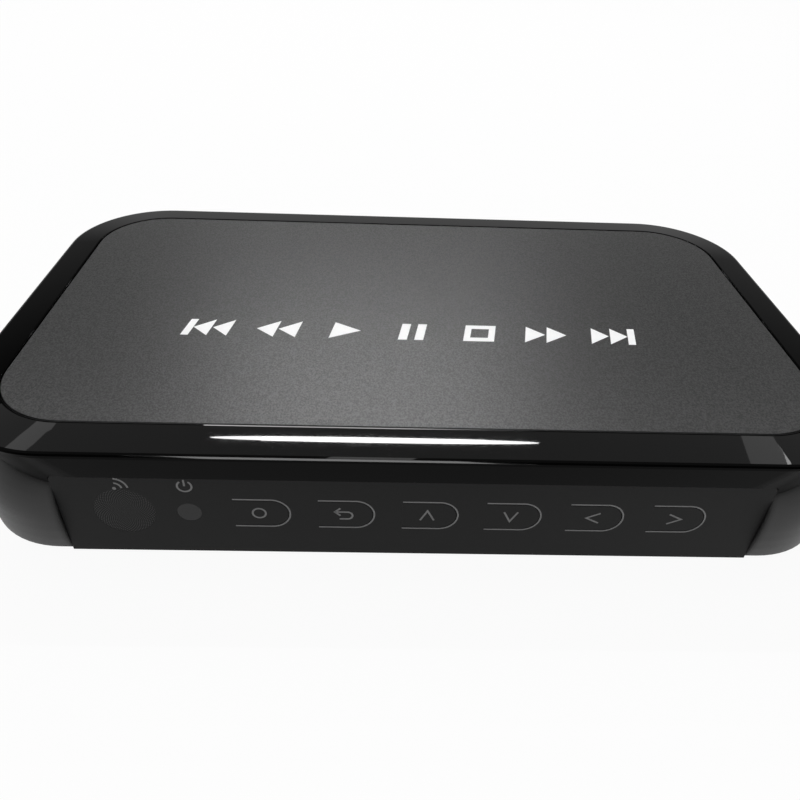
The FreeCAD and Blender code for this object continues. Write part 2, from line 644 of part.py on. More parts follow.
def bottom_shell():
    body = new_body("bottom_shell")
    outside = [outline(body, "0", "base_inset + base_chamfer", "base_radius - base_chamfer")]
    outside += [barrel(body, BASE_END, k / BASE_COURSES) for k in range(BASE_COURSES, 0, -1)]
    outside += [barrel(body, SEAM_END, k / SEAM_COURSES) for k in range(SEAM_COURSES + 1)]
    loft(outside)
    inside = [
        outline(body, "floor_thick", "base_inset + wall", "base_radius - wall"),
        outline(body, "belly_level", "belly_inset + wall", "belly_radius - wall"),
        outline(body, "seam_level", "seam_inset + wall", "seam_radius - wall"),
    ]
    loft(inside, cut=True)
    # locating lip that enters the frame
    lip = sketch(body, "XY", "seam_level")
    plan(lip, "seam_inset + wall - lip_thick", "seam_radius - wall + lip_thick")
    plan(lip, "seam_inset + wall", "seam_radius - wall")
    extrude(lip, "lip_height")
    # openings for the two end panels: over the floor's edge outside, over the floor inside
    half = "(panel_width / 2 + fit_gap)"
    recesses = (("panel_setback + panel_thick + fit_gap", "-cut_past"), ("opening_depth", "floor_thick"))
    for side in (-1, 1):
        for depth_in, low in recesses:
            outer = f"{side} * ({DEPTH} / 2 + cut_past)"
            inner = f"{side} * ({DEPTH} / 2 - ({depth_in}))"
            front, rear = (outer, inner) if side < 0 else (inner, outer)
            block(body, f"-{half}", half, front, rear, low, "seam_level + lip_height + cut_past", cut=True)
    # bosses on the floor
    discs(body, HOUSING_SCREWS, "boss_radius", "floor_thick", "seam_level")
    discs(body, BOARD_HOLES, "small_boss", "floor_thick", "board_level", drawn=octagon)
    discs(body, CAGE_HOLES, "small_boss", "floor_thick", "cage_level", drawn=octagon)
    # runner ribs under the tray
    for side in (-1, 1):
        middle = f"(bay_place + {side} * rib_place)"
        low, high = f"{middle} - rib_width / 2", f"{middle} + rib_width / 2"
        ends = (f"{DRIVE_FRONT} + rib_front", f"{DEPTH} / 2 - rib_end")
        block(body, low, high, *ends, "floor_thick", "sled_level - rib_gap")
    # post for the insert that takes the tray's captive screw
    post_half = "(insert_radius + post_wall)"
    post_sides = (f"knob_place - {post_half}", f"knob_place + {post_half}")
    post_rear = f"({CUP_BACK} - rib_gap)"
    post_ends = (f"{post_rear} - insert_length - post_end", post_rear)
    block(body, *post_sides, *post_ends, "floor_thick", f"knob_level + {post_half}")
    knob_axis = [("knob_place", "knob_level")]
    bore_ends = (f"{post_rear} - insert_length", f"{post_rear} + cut_past")
    discs(body, knob_axis, "insert_radius", *bore_ends, cut=True, plane="XZ")
    # screw holes
    through = ("-cut_past", "seam_level + cut_past")
    discs(body, HOUSING_SCREWS, "screw_radius + screw_gap", *through, cut=True, drawn=octagon)
    discs(body, HOUSING_SCREWS, "head_radius + screw_gap", "-cut_past", "head_depth", cut=True)
    for places, top in ((BOARD_HOLES, "board_level"), (CAGE_HOLES, "cage_level")):
        ends = ("floor_thick / 2", f"{top} + cut_past")
        discs(body, places, "small_screw", *ends, cut=True, drawn=octagon)
    # row of air slots under the main board
    slot_sides = ("vent_first - vent_width / 2", "vent_first + vent_width / 2")
    slot_ends = ("-vent_length / 2", "vent_length / 2")
    slot = block(body, *slot_sides, *slot_ends, "-cut_past", "floor_thick + cut_past", cut=True)
    repeat(slot, "X", "vent_pitch", "vent_count")
    return body


CREASE_FACETS = 3


def top_frame():
    body = new_body("top_frame")
    slope = "((corner_radius - rim_radius - rim_land) / (bevel_width - rim_land))"
    spread = "((seam_radius - corner_radius) / (crease_level - seam_level))"
    sections = [outline(body, "seam_level", "seam_inset", "seam_radius")]
    # the crease turns in short facets that keep inside its sharp corner
    for step in range(CREASE_FACETS + 1):
        up, over = (1 - step / CREASE_FACETS) ** 2, (step / CREASE_FACETS) ** 2
        level = f"crease_level - crease_round * ({up} - {over} * {RISE})"
        inset = f"crease_round * ({up} * {LEAN} + {over})"
        radius = f"corner_radius + crease_round * ({up} * {spread} - {over} * {slope})"
        sections.append(outline(body, level, inset, radius))
    sections.append(outline(body, "rim_level", "bevel_width - rim_land", "rim_radius + rim_land"))
    loft(sections)
    mouth = outline(body, "seam_level", "seam_inset + wall", "seam_radius - wall")
    roof_inset = f"wall + (crease_level - {ROOF}) * {LEAN}"
    roof = outline(body, ROOF, roof_inset, f"corner_radius - wall + (crease_level - {ROOF}) * {spread}")
    loft([mouth, roof], cut=True)
    lip_inset = "seam_inset + wall - lip_thick - fit_gap"
    lip_room = outline(body, "seam_level", lip_inset, "seam_radius - wall + lip_thick + fit_gap")
    extrude(lip_room, "lip_height + fit_gap", cut=True, towards=1)
    recess = outline(body, PLATE_BACK, "bevel_width", "rim_radius")
    extrude(recess, "plate_thick + cut_past", cut=True)
    window = outline(body, "seam_level", "bevel_width + ledge_width", "rim_radius - ledge_width")
    extrude(window, "rim_level", cut=True)
    # screw bosses hang from the roof to the seam
    boss = ("boss_radius - hang_slim", "seam_level + fit_gap", ROOF)
    discs(body, HOUSING_SCREWS, *boss, drawn=octagon)
    pilot = ("screw_radius", "seam_level - cut_past", "seam_level + screw_reach + pilot_spare")
    discs(body, HOUSING_SCREWS, *pilot, cut=True, drawn=octagon)
    # upper half of the openings for the end panels
    half = "(panel_width / 2 + fit_gap)"
    for low in (f"-{DEPTH} / 2 - cut_past", f"{DEPTH} / 2 - opening_depth"):
        made = sketch(body, "XZ", low)
        top = "panel_height + fit_gap"
        rounded(made, f"-{half}", half, "seam_level - panel_height / 2", top, "panel_corner + fit_gap")
        extrude(made, "opening_depth + cut_past", cut=True)
    return body


def top_panel():
    body = new_body("top_panel")
    plate = outline(body, PLATE_BACK, "bevel_width + fit_gap", "rim_radius - fit_gap")
    extrude(plate, "plate_thick")
    top = number("rim_level")
    soften(body, "plate_round", lambda edge: at_level(edge, top))
    # stiffening ribs underneath, inside the frame's ledge
    margin = "(bevel_width + ledge_width + cut_past)"
    reach = f"(width / 2 - {margin})"
    deep = f"({DEPTH} / 2 - {margin})"
    half = "rib_thin / 2"
    levels = (f"{PLATE_BACK} - rib_deep", PLATE_BACK)
    for side in (-1, 1):
        y = f"{side} * long_rib"
        block(body, f"-{reach}", reach, f"{y} - {half}", f"{y} + {half}", *levels)
    inner = f"(long_rib - {half})"
    outer = f"(long_rib + {half})"
    for side in (-1, 0, 1):
        sides = (f"{side} * cross_rib - {half}", f"{side} * cross_rib + {half}")
        for ends in ((f"-{deep}", f"-{outer}"), (f"-{inner}", inner), (outer, deep)):
            block(body, *sides, *ends, *levels)
    return body


def panel_blank(label, face, back, inward):
    """An end panel: plate with two round corners, and a flange behind its edges."""
    body = new_body(label)
    low, high = (face, back) if inward > 0 else (back, face)
    plate = sketch(body, "XZ", low)
    half = "(panel_width / 2)"
    rectangle(plate, f"-{half}", half, "0", "panel_height")
    extrude(plate, "panel_thick")
    top = number("panel_height")
    soften(
        body,
        "panel_corner",
        lambda edge: at_level(edge, top) and edge.BoundBox.XLength < 1e-4,
        "PartDesign::Fillet",
    )
    flange = sketch(body, "XZ", back)
    reach = f"({half} - flange_inset)"
    rectangle(flange, f"-{reach}", reach, "panel_height - flange_reach", "panel_height + flange_reach")
    for side in (-1, 1):
        ends = sorted((f"{side} * {reach}", f"{side} * ({half} + flange_reach)"), key=number)
        rectangle(flange, *ends, "flange_low", "flange_high")
    extrude(flange, "flange_thick", towards=inward)
    return body


def front_panel():
    body = panel_blank("front_panel", FRONT, FRONT_BACK, 1)
    slot = sketch(body, "XZ", f"{FRONT} - cut_past")
    low, high = "key_level - key_height / 2", "key_level + key_height / 2"
    tongue(slot, "first_key", "first_key + key_length", low, high)
    cut = extrude(slot, "panel_thick + flange_thick + 2 * cut_past", cut=True)
    repeat(cut, "X", "key_pitch", len(KEY_NAMES))
    through = (f"{FRONT} - cut_past", f"{FRONT_BACK} + cut_past")
    discs(body, [("window_place", "key_level")], "window_radius", *through, cut=True, plane="XZ")
    discs(body, [("lamp_place", "key_level")], "lamp_radius", *through, cut=True, plane="XZ")
    # posts that carry the key board
    discs(body, POSTS, "post_radius", FRONT_BACK, KEY_BOARD_FRONT, plane="XZ", drawn=octagon)
    ends = (f"{KEY_BOARD_FRONT} - post_hole", f"{KEY_BOARD_FRONT} + cut_past")
    discs(body, POSTS, "small_screw", *ends, cut=True, plane="XZ", drawn=octagon)
    return body


def rear_panel():
    body = panel_blank("rear_panel", REAR, REAR_BACK, -1)
    holes = sketch(body, "XZ", f"{REAR_BACK} - flange_thick - cut_past")
    gap = "rib_gap"
    door_sides = (f"{DOOR_LEFT} - {gap}", f"{DOOR_RIGHT} + {gap}")
    rounded(holes, *door_sides, f"door_low - {gap}", f"door_high + {gap}", f"door_corner + {gap}")
    hdmi = ("hdmi_place", "hdmi_width", BOARD_TOP, "hdmi_height")
    usb = ("usb_place", "usb_width", BOARD_TOP, "usb_height")
    for place, wide, low, high in (hdmi, usb):
        left, right = (f"{place} {sign} ({wide} / 2 + socket_gap)" for sign in "-+")
        rectangle(holes, left, right, f"{low} - socket_gap", f"{low} + {high} + socket_gap")
    circle(holes, "power_place", f"{BOARD_TOP} + power_level", "power_bore + inlet_wall + socket_gap")
    for place in AUDIO_PLACES:
        circle(holes, place, f"{BOARD_TOP} + audio_level", "audio_bore + jack_wall + socket_gap")
    extrude(holes, "panel_thick + flange_thick + 2 * cut_past", cut=True)
    return body


def key(index, name):
    body = new_body(f"key_{name}")
    root = f"(first_key + {index} * key_pitch)"
    made = sketch(body, "XZ", FRONT)
    low, high = (f"key_level {sign} (key_height / 2 - key_gap)" for sign in "-+")
    tongue(made, root, f"{root} + key_length - key_gap", low, high)
    extrude(made, "panel_thick")
    nub = [(f"{root} + nub_offset", "key_level")]
    discs(body, nub, "nub_radius", FRONT_BACK, NUB_END, plane="XZ")
    return body


def switch_centre(index):
    return f"(first_key + {index} * key_pitch + nub_offset)"


def plunger(index, name):
    body = new_body(f"plunger_{name}")
    made = sketch(body, "XZ", PLUNGER_TIP)
    square(made, switch_centre(index), "key_level", "plunger_half")
    extrude(made, "plunger_proud + plunger_depth")
    return body


def tact_switches():
    body = new_body("tact_switches")
    cases = sketch(body, "XZ", SWITCH_FACE)
    wells = sketch(body, "XZ", f"{SWITCH_FACE} - cut_past")
    for index in range(len(KEY_NAMES)):
        square(cases, switch_centre(index), "key_level", "switch_side / 2")
        square(wells, switch_centre(index), "key_level", "plunger_half + running_gap")
    extrude(cases, "switch_deep")
    extrude(wells, "cut_past + plunger_depth + plunger_travel + running_gap", cut=True)
    return body


def key_board():
    body = new_body("key_board")
    made = sketch(body, "XZ", KEY_BOARD_FRONT)
    rectangle(made, "key_board_left", "key_board_right", "key_board_low", "key_board_high")
    extrude(made, "key_board_thick")
    through = (f"{KEY_BOARD_FRONT} - cut_past", f"{KEY_BOARD_BACK} + cut_past")
    discs(body, POSTS, "small_screw + screw_gap", *through, cut=True, plane="XZ", drawn=octagon)
    return body


def key_board_screws():
    body = new_body("key_board_screws")
    shank = ("small_screw - screw_slack", f"{KEY_BOARD_FRONT} - post_bite", KEY_BOARD_BACK)
    head = ("small_head", KEY_BOARD_BACK, f"{KEY_BOARD_BACK} + small_head_height")
    for sizes in (shank, head):
        discs(body, POSTS, *sizes, plane="XZ", drawn=octagon)
    return body


def ir_window():
    body = new_body("ir_window")
    centre = [("window_place", "key_level")]
    discs(body, centre, "window_radius - seat_gap", FRONT, FRONT_BACK, plane="XZ")
    return body


def ir_receiver():
    body = new_body("ir_receiver")
    face = f"({KEY_BOARD_FRONT} - receiver_thick)"
    made = sketch(body, "XZ", face)
    sides = ("window_place - receiver_width / 2", "window_place + receiver_width / 2")
    rectangle(made, *sides, "key_level - receiver_height / 2", "key_level + receiver_height / 2")
    extrude(made, "receiver_thick")
    dome = [("window_place", "key_level")]
    front = f"{face} - dome_height"
    discs(body, dome, "dome_radius", front, face, plane="XZ", drawn=octagon)
    tip = number(front)
    soften(body, "dome_edge", lambda edge: at_level(edge, tip, "y"))
    return body


def power_lens():
    body = new_body("power_lens")
    centre = [("lamp_place", "key_level")]
    discs(body, centre, "lamp_radius - seat_gap", FRONT, FRONT_BACK, plane="XZ")
    discs(body, centre, "pipe_radius", FRONT_BACK, f"{FRONT_BACK} + pipe_length", plane="XZ", drawn=octagon)
    return body


def power_led():
    body = new_body("power_led")
    centre = [("lamp_place", "key_level")]
    discs(body, centre, "led_radius", f"{KEY_BOARD_FRONT} - led_length", KEY_BOARD_FRONT, plane="XZ")
    return body


def main_board():
    body = new_body("main_board")
    made = sketch(body, "XY", "board_level")
    strip_rear = f"({DRIVE_FRONT} - running_gap)"
    corners = [
        ("strip_left", STRIP_FRONT),
        ("board_right", STRIP_FRONT),
        ("board_right", "board_end"),
        ("board_left", "board_end"),
        ("board_left", strip_rear),
        ("strip_left", strip_rear),
    ]
    polygon(made, corners)
    extrude(made, "board_thick")
    through = ("board_level - cut_past", f"{BOARD_TOP} + cut_past")
    discs(body, BOARD_HOLES, "small_screw + screw_gap", *through, cut=True, drawn=octagon)
    return body


def small_screws(label, places, top):
    """Small screws driven down through a sheet or board whose upper face is at a level."""
    body = new_body(label)
    discs(body, places, "small_screw - screw_slack", "floor_thick", top, drawn=octagon)
    discs(body, places, "small_head", top, f"{top} + small_head_height", drawn=octagon)
    return body


def board_screws():
    return small_screws("board_screws", BOARD_HOLES, BOARD_TOP)


def stand(body, x, y, wide, deep, low, high):
    """A rectangular solid centred on a place, between two levels."""
    sides = (f"{x} - {wide} / 2", f"{x} + {wide} / 2")
    return block(body, *sides, f"{y} - {deep} / 2", f"{y} + {deep} / 2", low, high)


PROCESSOR = ("processor_x", "processor_y")
PROCESSOR_TOP = f"({BOARD_TOP} + processor_thick)"


def processor():
    body = new_body("processor")
    stand(body, *PROCESSOR, "processor_side", "processor_side", BOARD_TOP, PROCESSOR_TOP)
    return body


def heat_sink():
    body = new_body("heat_sink")
    plate_top = f"({PROCESSOR_TOP} + sink_plate)"
    stand(body, *PROCESSOR, "sink_side", "sink_side", PROCESSOR_TOP, plate_top)
    first = "(processor_x - (fin_count - 1) * fin_pitch / 2)"
    fin_end = f"{plate_top} + fin_height"
    fin = stand(body, first, "processor_y", "fin_thick", "sink_side", plate_top, fin_end)
    repeat(fin, "X", "fin_pitch", "fin_count")
    return body


def memory_chips():
    body = new_body("memory_chips")
    size = ("memory_width", "memory_length", BOARD_TOP, f"{BOARD_TOP} + memory_thick")
    for i in (-1, 1):
        for j in (-1, 1):
            place = (f"(processor_x + {i} * memory_reach)", f"(processor_y + {j} * memory_spread)")
            stand(body, *place, *size)
    return body


def capacitors():
    body = new_body("capacitors")
    discs(body, CAN_PLACES, "can_radius", BOARD_TOP, f"{BOARD_TOP} + can_height")
    return body


def inductors():
    body = new_body("inductors")
    for place in COIL_PLACES:
        stand(body, *place, "coil_side", "coil_side", BOARD_TOP, f"{BOARD_TOP} + coil_height")
    return body


def crystal():
    body = new_body("crystal")
    made = sketch(body, "XY", BOARD_TOP)
    sides = ("processor_x - crystal_length / 2", "processor_x + crystal_length / 2")
    ends = ("crystal_y - crystal_width / 2", "crystal_y + crystal_width / 2")
    rounded(made, *sides, *ends, "crystal_width / 2 - fit_gap")
    extrude(made, "crystal_height")
    return body


def power_inlet():
    body = new_body("power_inlet")
    sides = ("power_place - inlet_width / 2", "power_place + inlet_width / 2")
    shoulder = f"{REAR_BACK} - socket_gap"
    block(body, *sides, f"{REAR_BACK} - inlet_length", shoulder, BOARD_TOP, f"{BOARD_TOP} + inlet_height")
    axis = [("power_place", f"{BOARD_TOP} + power_level")]
    discs(body, axis, "power_bore + inlet_wall", shoulder, REAR, plane="XZ")
    discs(body, axis, "power_bore", f"{REAR} - inlet_depth", f"{REAR} + cut_past", cut=True, plane="XZ")
    return body


def power_inlet_pin():
    body = new_body("power_inlet_pin")
    axis = [("power_place", f"{BOARD_TOP} + power_level")]
    discs(body, axis, "power_pin", f"{REAR} - inlet_depth", f"{REAR} - pin_back", plane="XZ")
    return body


def audio_jacks():
    body = new_body("audio_jacks")
    shoulder = f"{REAR_BACK} - socket_gap"
    for place in AUDIO_PLACES:
        sides = (f"{place} - jack_width / 2", f"{place} + jack_width / 2")
        block(body, *sides, f"{REAR_BACK} - jack_length", shoulder, BOARD_TOP, f"{BOARD_TOP} + jack_height")
    axes = [(place, f"{BOARD_TOP} + audio_level") for place in AUDIO_PLACES]
    discs(body, axes, "audio_bore + jack_wall", shoulder, REAR, plane="XZ")
    discs(body, axes, "audio_bore", f"{REAR} - audio_depth", f"{REAR} + cut_past", cut=True, plane="XZ")
    return body


def hdmi_socket():
    body = new_body("hdmi_socket")
    left, right = "hdmi_place - hdmi_width / 2", "hdmi_place + hdmi_width / 2"
    made = sketch(body, "XZ", f"{REAR} - hdmi_depth")
    rectangle(made, left, right, BOARD_TOP, f"{BOARD_TOP} + hdmi_height")
    extrude(made, "hdmi_depth")
    mouth = sketch(body, "XZ", f"{REAR} - hdmi_depth + sheet_thick")
    left_half = [
        ("sheet_thick", "hdmi_height - sheet_thick"),
        ("sheet_thick", "sheet_thick + hdmi_slant"),
        ("hdmi_slant", "sheet_thick"),
    ]
    corners = [(f"{left} + {x}", f"{BOARD_TOP} + {z}") for x, z in left_half]
    corners += [(f"{right} - {x}", f"{BOARD_TOP} + {z}") for x, z in reversed(left_half)]
    polygon(mouth, corners)
    extrude(mouth, "hdmi_depth", cut=True)
    return body


def hdmi_tongue():
    body = new_body("hdmi_tongue")
    low = f"({BOARD_TOP} + sheet_thick + hdmi_slant)"
    sides = ("hdmi_place - hdmi_blade / 2", "hdmi_place + hdmi_blade / 2")
    ends = (f"{REAR} - hdmi_depth + sheet_thick", f"{REAR} - blade_back")
    block(body, *sides, *ends, low, f"{low} + hdmi_blade_thick")
    return body


USB_PORTS = [
    f"({BOARD_TOP} + sheet_thick)",
    f"({BOARD_TOP} + usb_height - sheet_thick - usb_port)",
]


def usb_socket():
    body = new_body("usb_socket")
    left, right = "usb_place - usb_width / 2", "usb_place + usb_width / 2"
    made = sketch(body, "XZ", f"{REAR} - usb_depth")
    rectangle(made, left, right, BOARD_TOP, f"{BOARD_TOP} + usb_height")
    extrude(made, "usb_depth")
    ports = sketch(body, "XZ", f"{REAR} - usb_depth + sheet_thick")
    for low in USB_PORTS:
        rectangle(ports, f"{left} + sheet_thick", f"{right} - sheet_thick", low, f"{low} + usb_port")
    extrude(ports, "usb_depth", cut=True)
    return body


def usb_tongues():
    body = new_body("usb_tongues")
    made = sketch(body, "XZ", f"{REAR} - usb_depth + sheet_thick")
    sides = ("usb_place - usb_blade / 2", "usb_place + usb_blade / 2")
    for port in USB_PORTS:
        low = f"{port} + usb_blade_rise"
        rectangle(made, *sides, low, f"{low} + usb_blade_thick")
    extrude(made, "usb_depth - sheet_thick - blade_back")
    return body


def drive_socket():
    """Socket on the board strip; its nose enters the drive's plug."""
    body = new_body("drive_socket")
    face = f"({DRIVE_FRONT} - socket_gap)"
    front = f"{STRIP_FRONT} + nest_setback"
    sides = ("bay_place - nest_width / 2", "bay_place + nest_width / 2")
    block(body, *sides, front, face, BOARD_TOP, f"{BOARD_TOP} + nest_height")
    low = f"({BOARD_TOP} + nose_low)"
    nose = ("bay_place - nose_width / 2", "bay_place + nose_width / 2")
    block(body, *nose, face, f"{face} + nose_length", low, f"{low} + nose_thick")
    return body


def key_cable():
    """Flat cable that bends from the key board's rear socket down to the main board."""
    body = new_body("key_cable")
    start, foot = f"({KEY_BOARD_BACK} + plug_thick)", f"({BOARD_TOP} + foot_plug)"
    section = sketch(body, "XZ", start)
    sides = ("cable_place - cable_width / 2", "cable_place + cable_width / 2")
    rectangle(section, *sides, f"{CABLE_LEVEL} - cable_thick / 2", f"{CABLE_LEVEL} + cable_thick / 2")
    y0, y1, z0, z1, bend = map(number, (start, CABLE_END, CABLE_LEVEL, foot, "cable_bend"))
    path = sketch(body, "YZ", "cable_place")
    run = path.addGeometry(Part.LineSegment(V(y0, z0), V(y1 - bend, z0)), False)
    corner = Part.Circle(V(y1 - bend, z0 - bend), V(0, 0, 1), bend)
    turn = path.addGeometry(Part.ArcOfCircle(corner, 0, math.pi / 2), False)
    drop = path.addGeometry(Part.LineSegment(V(y1, z0 - bend), V(y1, z1)), False)
    constrain(path, "Horizontal", run)
    constrain(path, "Vertical", drop)
    constrain(path, "Tangent", run, 2, turn, 2)
    constrain(path, "Tangent", turn, 1, drop, 1)
    constrain(path, "Radius", turn, to="cable_bend")
    constrain(path, "DistanceX", -1, 1, run, 1, to=start)
    constrain(path, "DistanceY", -1, 1, run, 1, to=CABLE_LEVEL)
    constrain(path, "DistanceX", -1, 1, drop, 2, to=CABLE_END)
    constrain(path, "DistanceY", -1, 1, drop, 2, to=foot)
    pipe = body.newObject("PartDesign::AdditivePipe", "cable")
    pipe.Profile = section
    pipe.Spine = (path, [])
    return body


def cable_sockets():
    body = new_body("cable_sockets")
    half = "(cable_width / 2 + plug_edge)"
    sides = (f"cable_place - {half}", f"cable_place + {half}")
    upper = sketch(body, "XZ", KEY_BOARD_BACK)
    rectangle(upper, *sides, f"{CABLE_LEVEL} - plug_half", f"{CABLE_LEVEL} + plug_half")
    extrude(upper, "plug_thick")
    ends = (f"{CABLE_END} - plug_half", f"{CABLE_END} + plug_half")
    block(body, *sides, *ends, BOARD_TOP, f"{BOARD_TOP} + foot_plug")
    return body


def drive_cage():
    body = new_body("drive_cage")
    made = sketch(body, "XZ", "-cage_half")
    skin = "cage_thick"
    inner, outer = CAGE_HALF, f"({CAGE_HALF} + {skin})"
    foot = f"({outer} + cage_foot)"
    right_half = [
        (foot, "cage_level"),
        (foot, f"cage_level + {skin}"),
        (outer, f"cage_level + {skin}"),
        (outer, f"{CAGE_ROOF} + {skin}"),
    ]
    corners = [(f"bay_place - {x}", z) for x, z in right_half]
    corners += [(f"bay_place + {x}", z) for x, z in reversed(right_half)]
    under = [(inner, "cage_level"), (inner, CAGE_ROOF)]
    corners += [(f"bay_place + {x}", z) for x, z in under]
    corners += [(f"bay_place - {x}", z) for x, z in reversed(under)]
    polygon(made, corners)
    extrude(made, "2 * cage_half")
    through = ("cage_level - cut_past", "cage_level + cage_thick + cut_past")
    discs(body, CAGE_HOLES, "small_screw + screw_gap", *through, cut=True, drawn=octagon)
    slot_sides = ("bay_place - cage_slot_half", "bay_place + cage_slot_half")
    first = "(cage_slot_first - cage_half)"
    levels = (f"{CAGE_ROOF} - cut_past", f"{CAGE_ROOF} + cage_thick + cut_past")
    slot = block(body, *slot_sides, first, f"{first} + cage_slot", *levels, cut=True)
    repeat(slot, "Y", "cage_slot_pitch", "cage_slots")
    return body


def cage_screws():
    return small_screws("cage_screws", CAGE_HOLES, "(cage_level + cage_thick)")


def tray_sled():
    body = new_body("tray_sled")
    front = f"({DRIVE_FRONT} + sled_back)"
    made = sketch(body, "XZ", front)
    inner = f"({SLED_HALF} - sled_thick)"
    top = "sled_level + sled_side"
    right_half = [(SLED_HALF, "sled_level"), (SLED_HALF, top), (inner, top), (inner, DRIVE_LEVEL)]
    corners = [(f"bay_place + {x}", z) for x, z in right_half]
    corners += [(f"bay_place - {x}", z) for x, z in reversed(right_half)]
    polygon(made, corners)
    extrude(made, f"{SLED_END} - {front}")
    sides = (f"bay_place - {SLED_HALF}", f"bay_place + {SLED_HALF}")
    block(body, *sides, SLED_END, DOOR_BACK, "sled_level", top)
    # open floor under the drive's board, and air holes in the rear flange
    floor = sketch(body, "XY", "sled_level - cut_past")
    floor_sides = ("bay_place - sled_window", "bay_place + sled_window")
    floor_ends = (f"{front} + window_front", f"{SLED_END} - window_rear")
    rounded(floor, *floor_sides, *floor_ends, "window_corner")
    extrude(floor, "sled_thick + 2 * cut_past", cut=True)
    air = sketch(body, "XZ", f"{SLED_END} - cut_past")
    air_sides = ("bay_place - flange_window", "bay_place + flange_window")
    rectangle(air, *air_sides, "sled_level + flange_margin", f"{top} - flange_margin")
    extrude(air, "sled_thick + 2 * cut_past", cut=True)
    through = ("sled_level - cut_past", f"{DRIVE_LEVEL} + cut_past")
    discs(body, DRIVE_HOLES, "drive_screw + screw_gap", *through, cut=True, drawn=octagon)
    return body


def tray_door():
    body = new_body("tray_door")
    plate = sketch(body, "XZ", DOOR_BACK)
    rounded(plate, DOOR_LEFT, DOOR_RIGHT, "door_low", "door_high", "door_corner")
    extrude(plate, "door_thick")
    axis = [("knob_place", "knob_level")]
    discs(body, axis, f"{CUP_RADIUS} + cup_wall", CUP_BACK, DOOR_BACK, plane="XZ")
    discs(body, axis, CUP_RADIUS, f"{REAR} - cup_depth", f"{REAR} + cut_past", cut=True, plane="XZ")
    discs(body, axis, "shank_radius + shank_gap", f"{CUP_BACK} - cut_past", REAR, cut=True, plane="XZ")
    slot = sketch(body, "XZ", f"{DOOR_BACK} - cut_past")
    first = "(bay_place - (door_slots - 1) * door_slot_pitch / 2)"
    sides = (f"{first} - door_slot / 2", f"{first} + door_slot / 2")
    rectangle(slot, *sides, "door_slot_low", "door_slot_high")
    cut = extrude(slot, "door_thick + 2 * cut_past", cut=True)
    repeat(cut, "X", "door_slot_pitch", "door_slots")
    return body


def drive_base():
    body = new_body("drive_base")
    made = sketch(body, "XY", DRIVE_LEVEL)
    half = "drive_width / 2"
    sides = (f"bay_place - {half}", f"bay_place + {half}")
    rounded(made, *sides, DRIVE_FRONT, DRIVE_END, "drive_corner")
    extrude(made, "drive_height - cover_thick")
    # recess for the circuit board, notch for the plug, threaded holes
    under = f"{DRIVE_LEVEL} - cut_past"
    logic_sides = ("bay_place - logic_half", "bay_place + logic_half")
    logic_ends = (f"{DRIVE_FRONT} + logic_front", f"{DRIVE_FRONT} + logic_front + logic_length")
    block(body, *logic_sides, *logic_ends, under, f"{DRIVE_LEVEL} + logic_depth", cut=True)
    notch_sides = ("bay_place - plug_half_width", "bay_place + plug_half_width")
    notch_ends = (f"{DRIVE_FRONT} - cut_past", f"{DRIVE_FRONT} + plug_length")
    block(body, *notch_sides, *notch_ends, under, f"{DRIVE_LEVEL} + plug_height", cut=True)
    hole = ("drive_screw + screw_slack", under, f"{DRIVE_LEVEL} + drive_bite + screw_gap")
    discs(body, DRIVE_HOLES, *hole, cut=True, drawn=octagon)
    return body


def drive_cover():
    body = new_body("drive_cover")
    made = sketch(body, "XY", f"{DRIVE_TOP} - cover_thick")
    half = "(drive_width / 2 - cover_margin)"
    ends = (f"{DRIVE_FRONT} + cover_margin", f"{DRIVE_END} - cover_margin")
    rounded(made, f"bay_place - {half}", f"bay_place + {half}", *ends, "drive_corner")
    extrude(made, "cover_thick")
    # pressed dish over the platters, with a raised hub
    middle = [("bay_place", f"{DRIVE_END} - dish_place")]
    floor = f"{DRIVE_TOP} - dish_depth"
    discs(body, middle, "dish_radius", floor, f"{DRIVE_TOP} + cut_past", cut=True)
    discs(body, middle, "hub_radius", floor, DRIVE_TOP)
    return body


def drive_board():
    body = new_body("drive_board")
    low = f"({DRIVE_LEVEL} + logic_lift)"
    half = "(logic_half - socket_gap)"
    front = f"({DRIVE_FRONT} + logic_front + socket_gap)"
    ends = (front, f"{front} + logic_length - 2 * socket_gap")
    block(body, f"bay_place - {half}", f"bay_place + {half}", *ends, low, f"{low} + logic_thick")
    return body


def drive_plug():
    body = new_body("drive_plug")
    half = "(plug_half_width - running_gap)"
    sides = (f"bay_place - {half}", f"bay_place + {half}")
    top = f"{DRIVE_LEVEL} + plug_height - running_gap"
    block(body, *sides, DRIVE_FRONT, f"{DRIVE_FRONT} + plug_length - running_gap", DRIVE_LEVEL, top)
    low = f"({BOARD_TOP} + mouth_low)"
    mouth_sides = ("bay_place - mouth_half", "bay_place + mouth_half")
    mouth_ends = (f"{DRIVE_FRONT} - cut_past", f"{DRIVE_FRONT} + mouth_depth")
    block(body, *mouth_sides, *mouth_ends, low, f"{low} + mouth_height", cut=True)
    return body


def drive_screws():
    body = new_body("drive_screws")
    shank = ("drive_screw", "sled_level", f"{DRIVE_LEVEL} + drive_bite")
    discs(body, DRIVE_HOLES, *shank, drawn=octagon)
    discs(body, DRIVE_HOLES, "drive_head", "sled_level - drive_head_height", "sled_level")
    return body


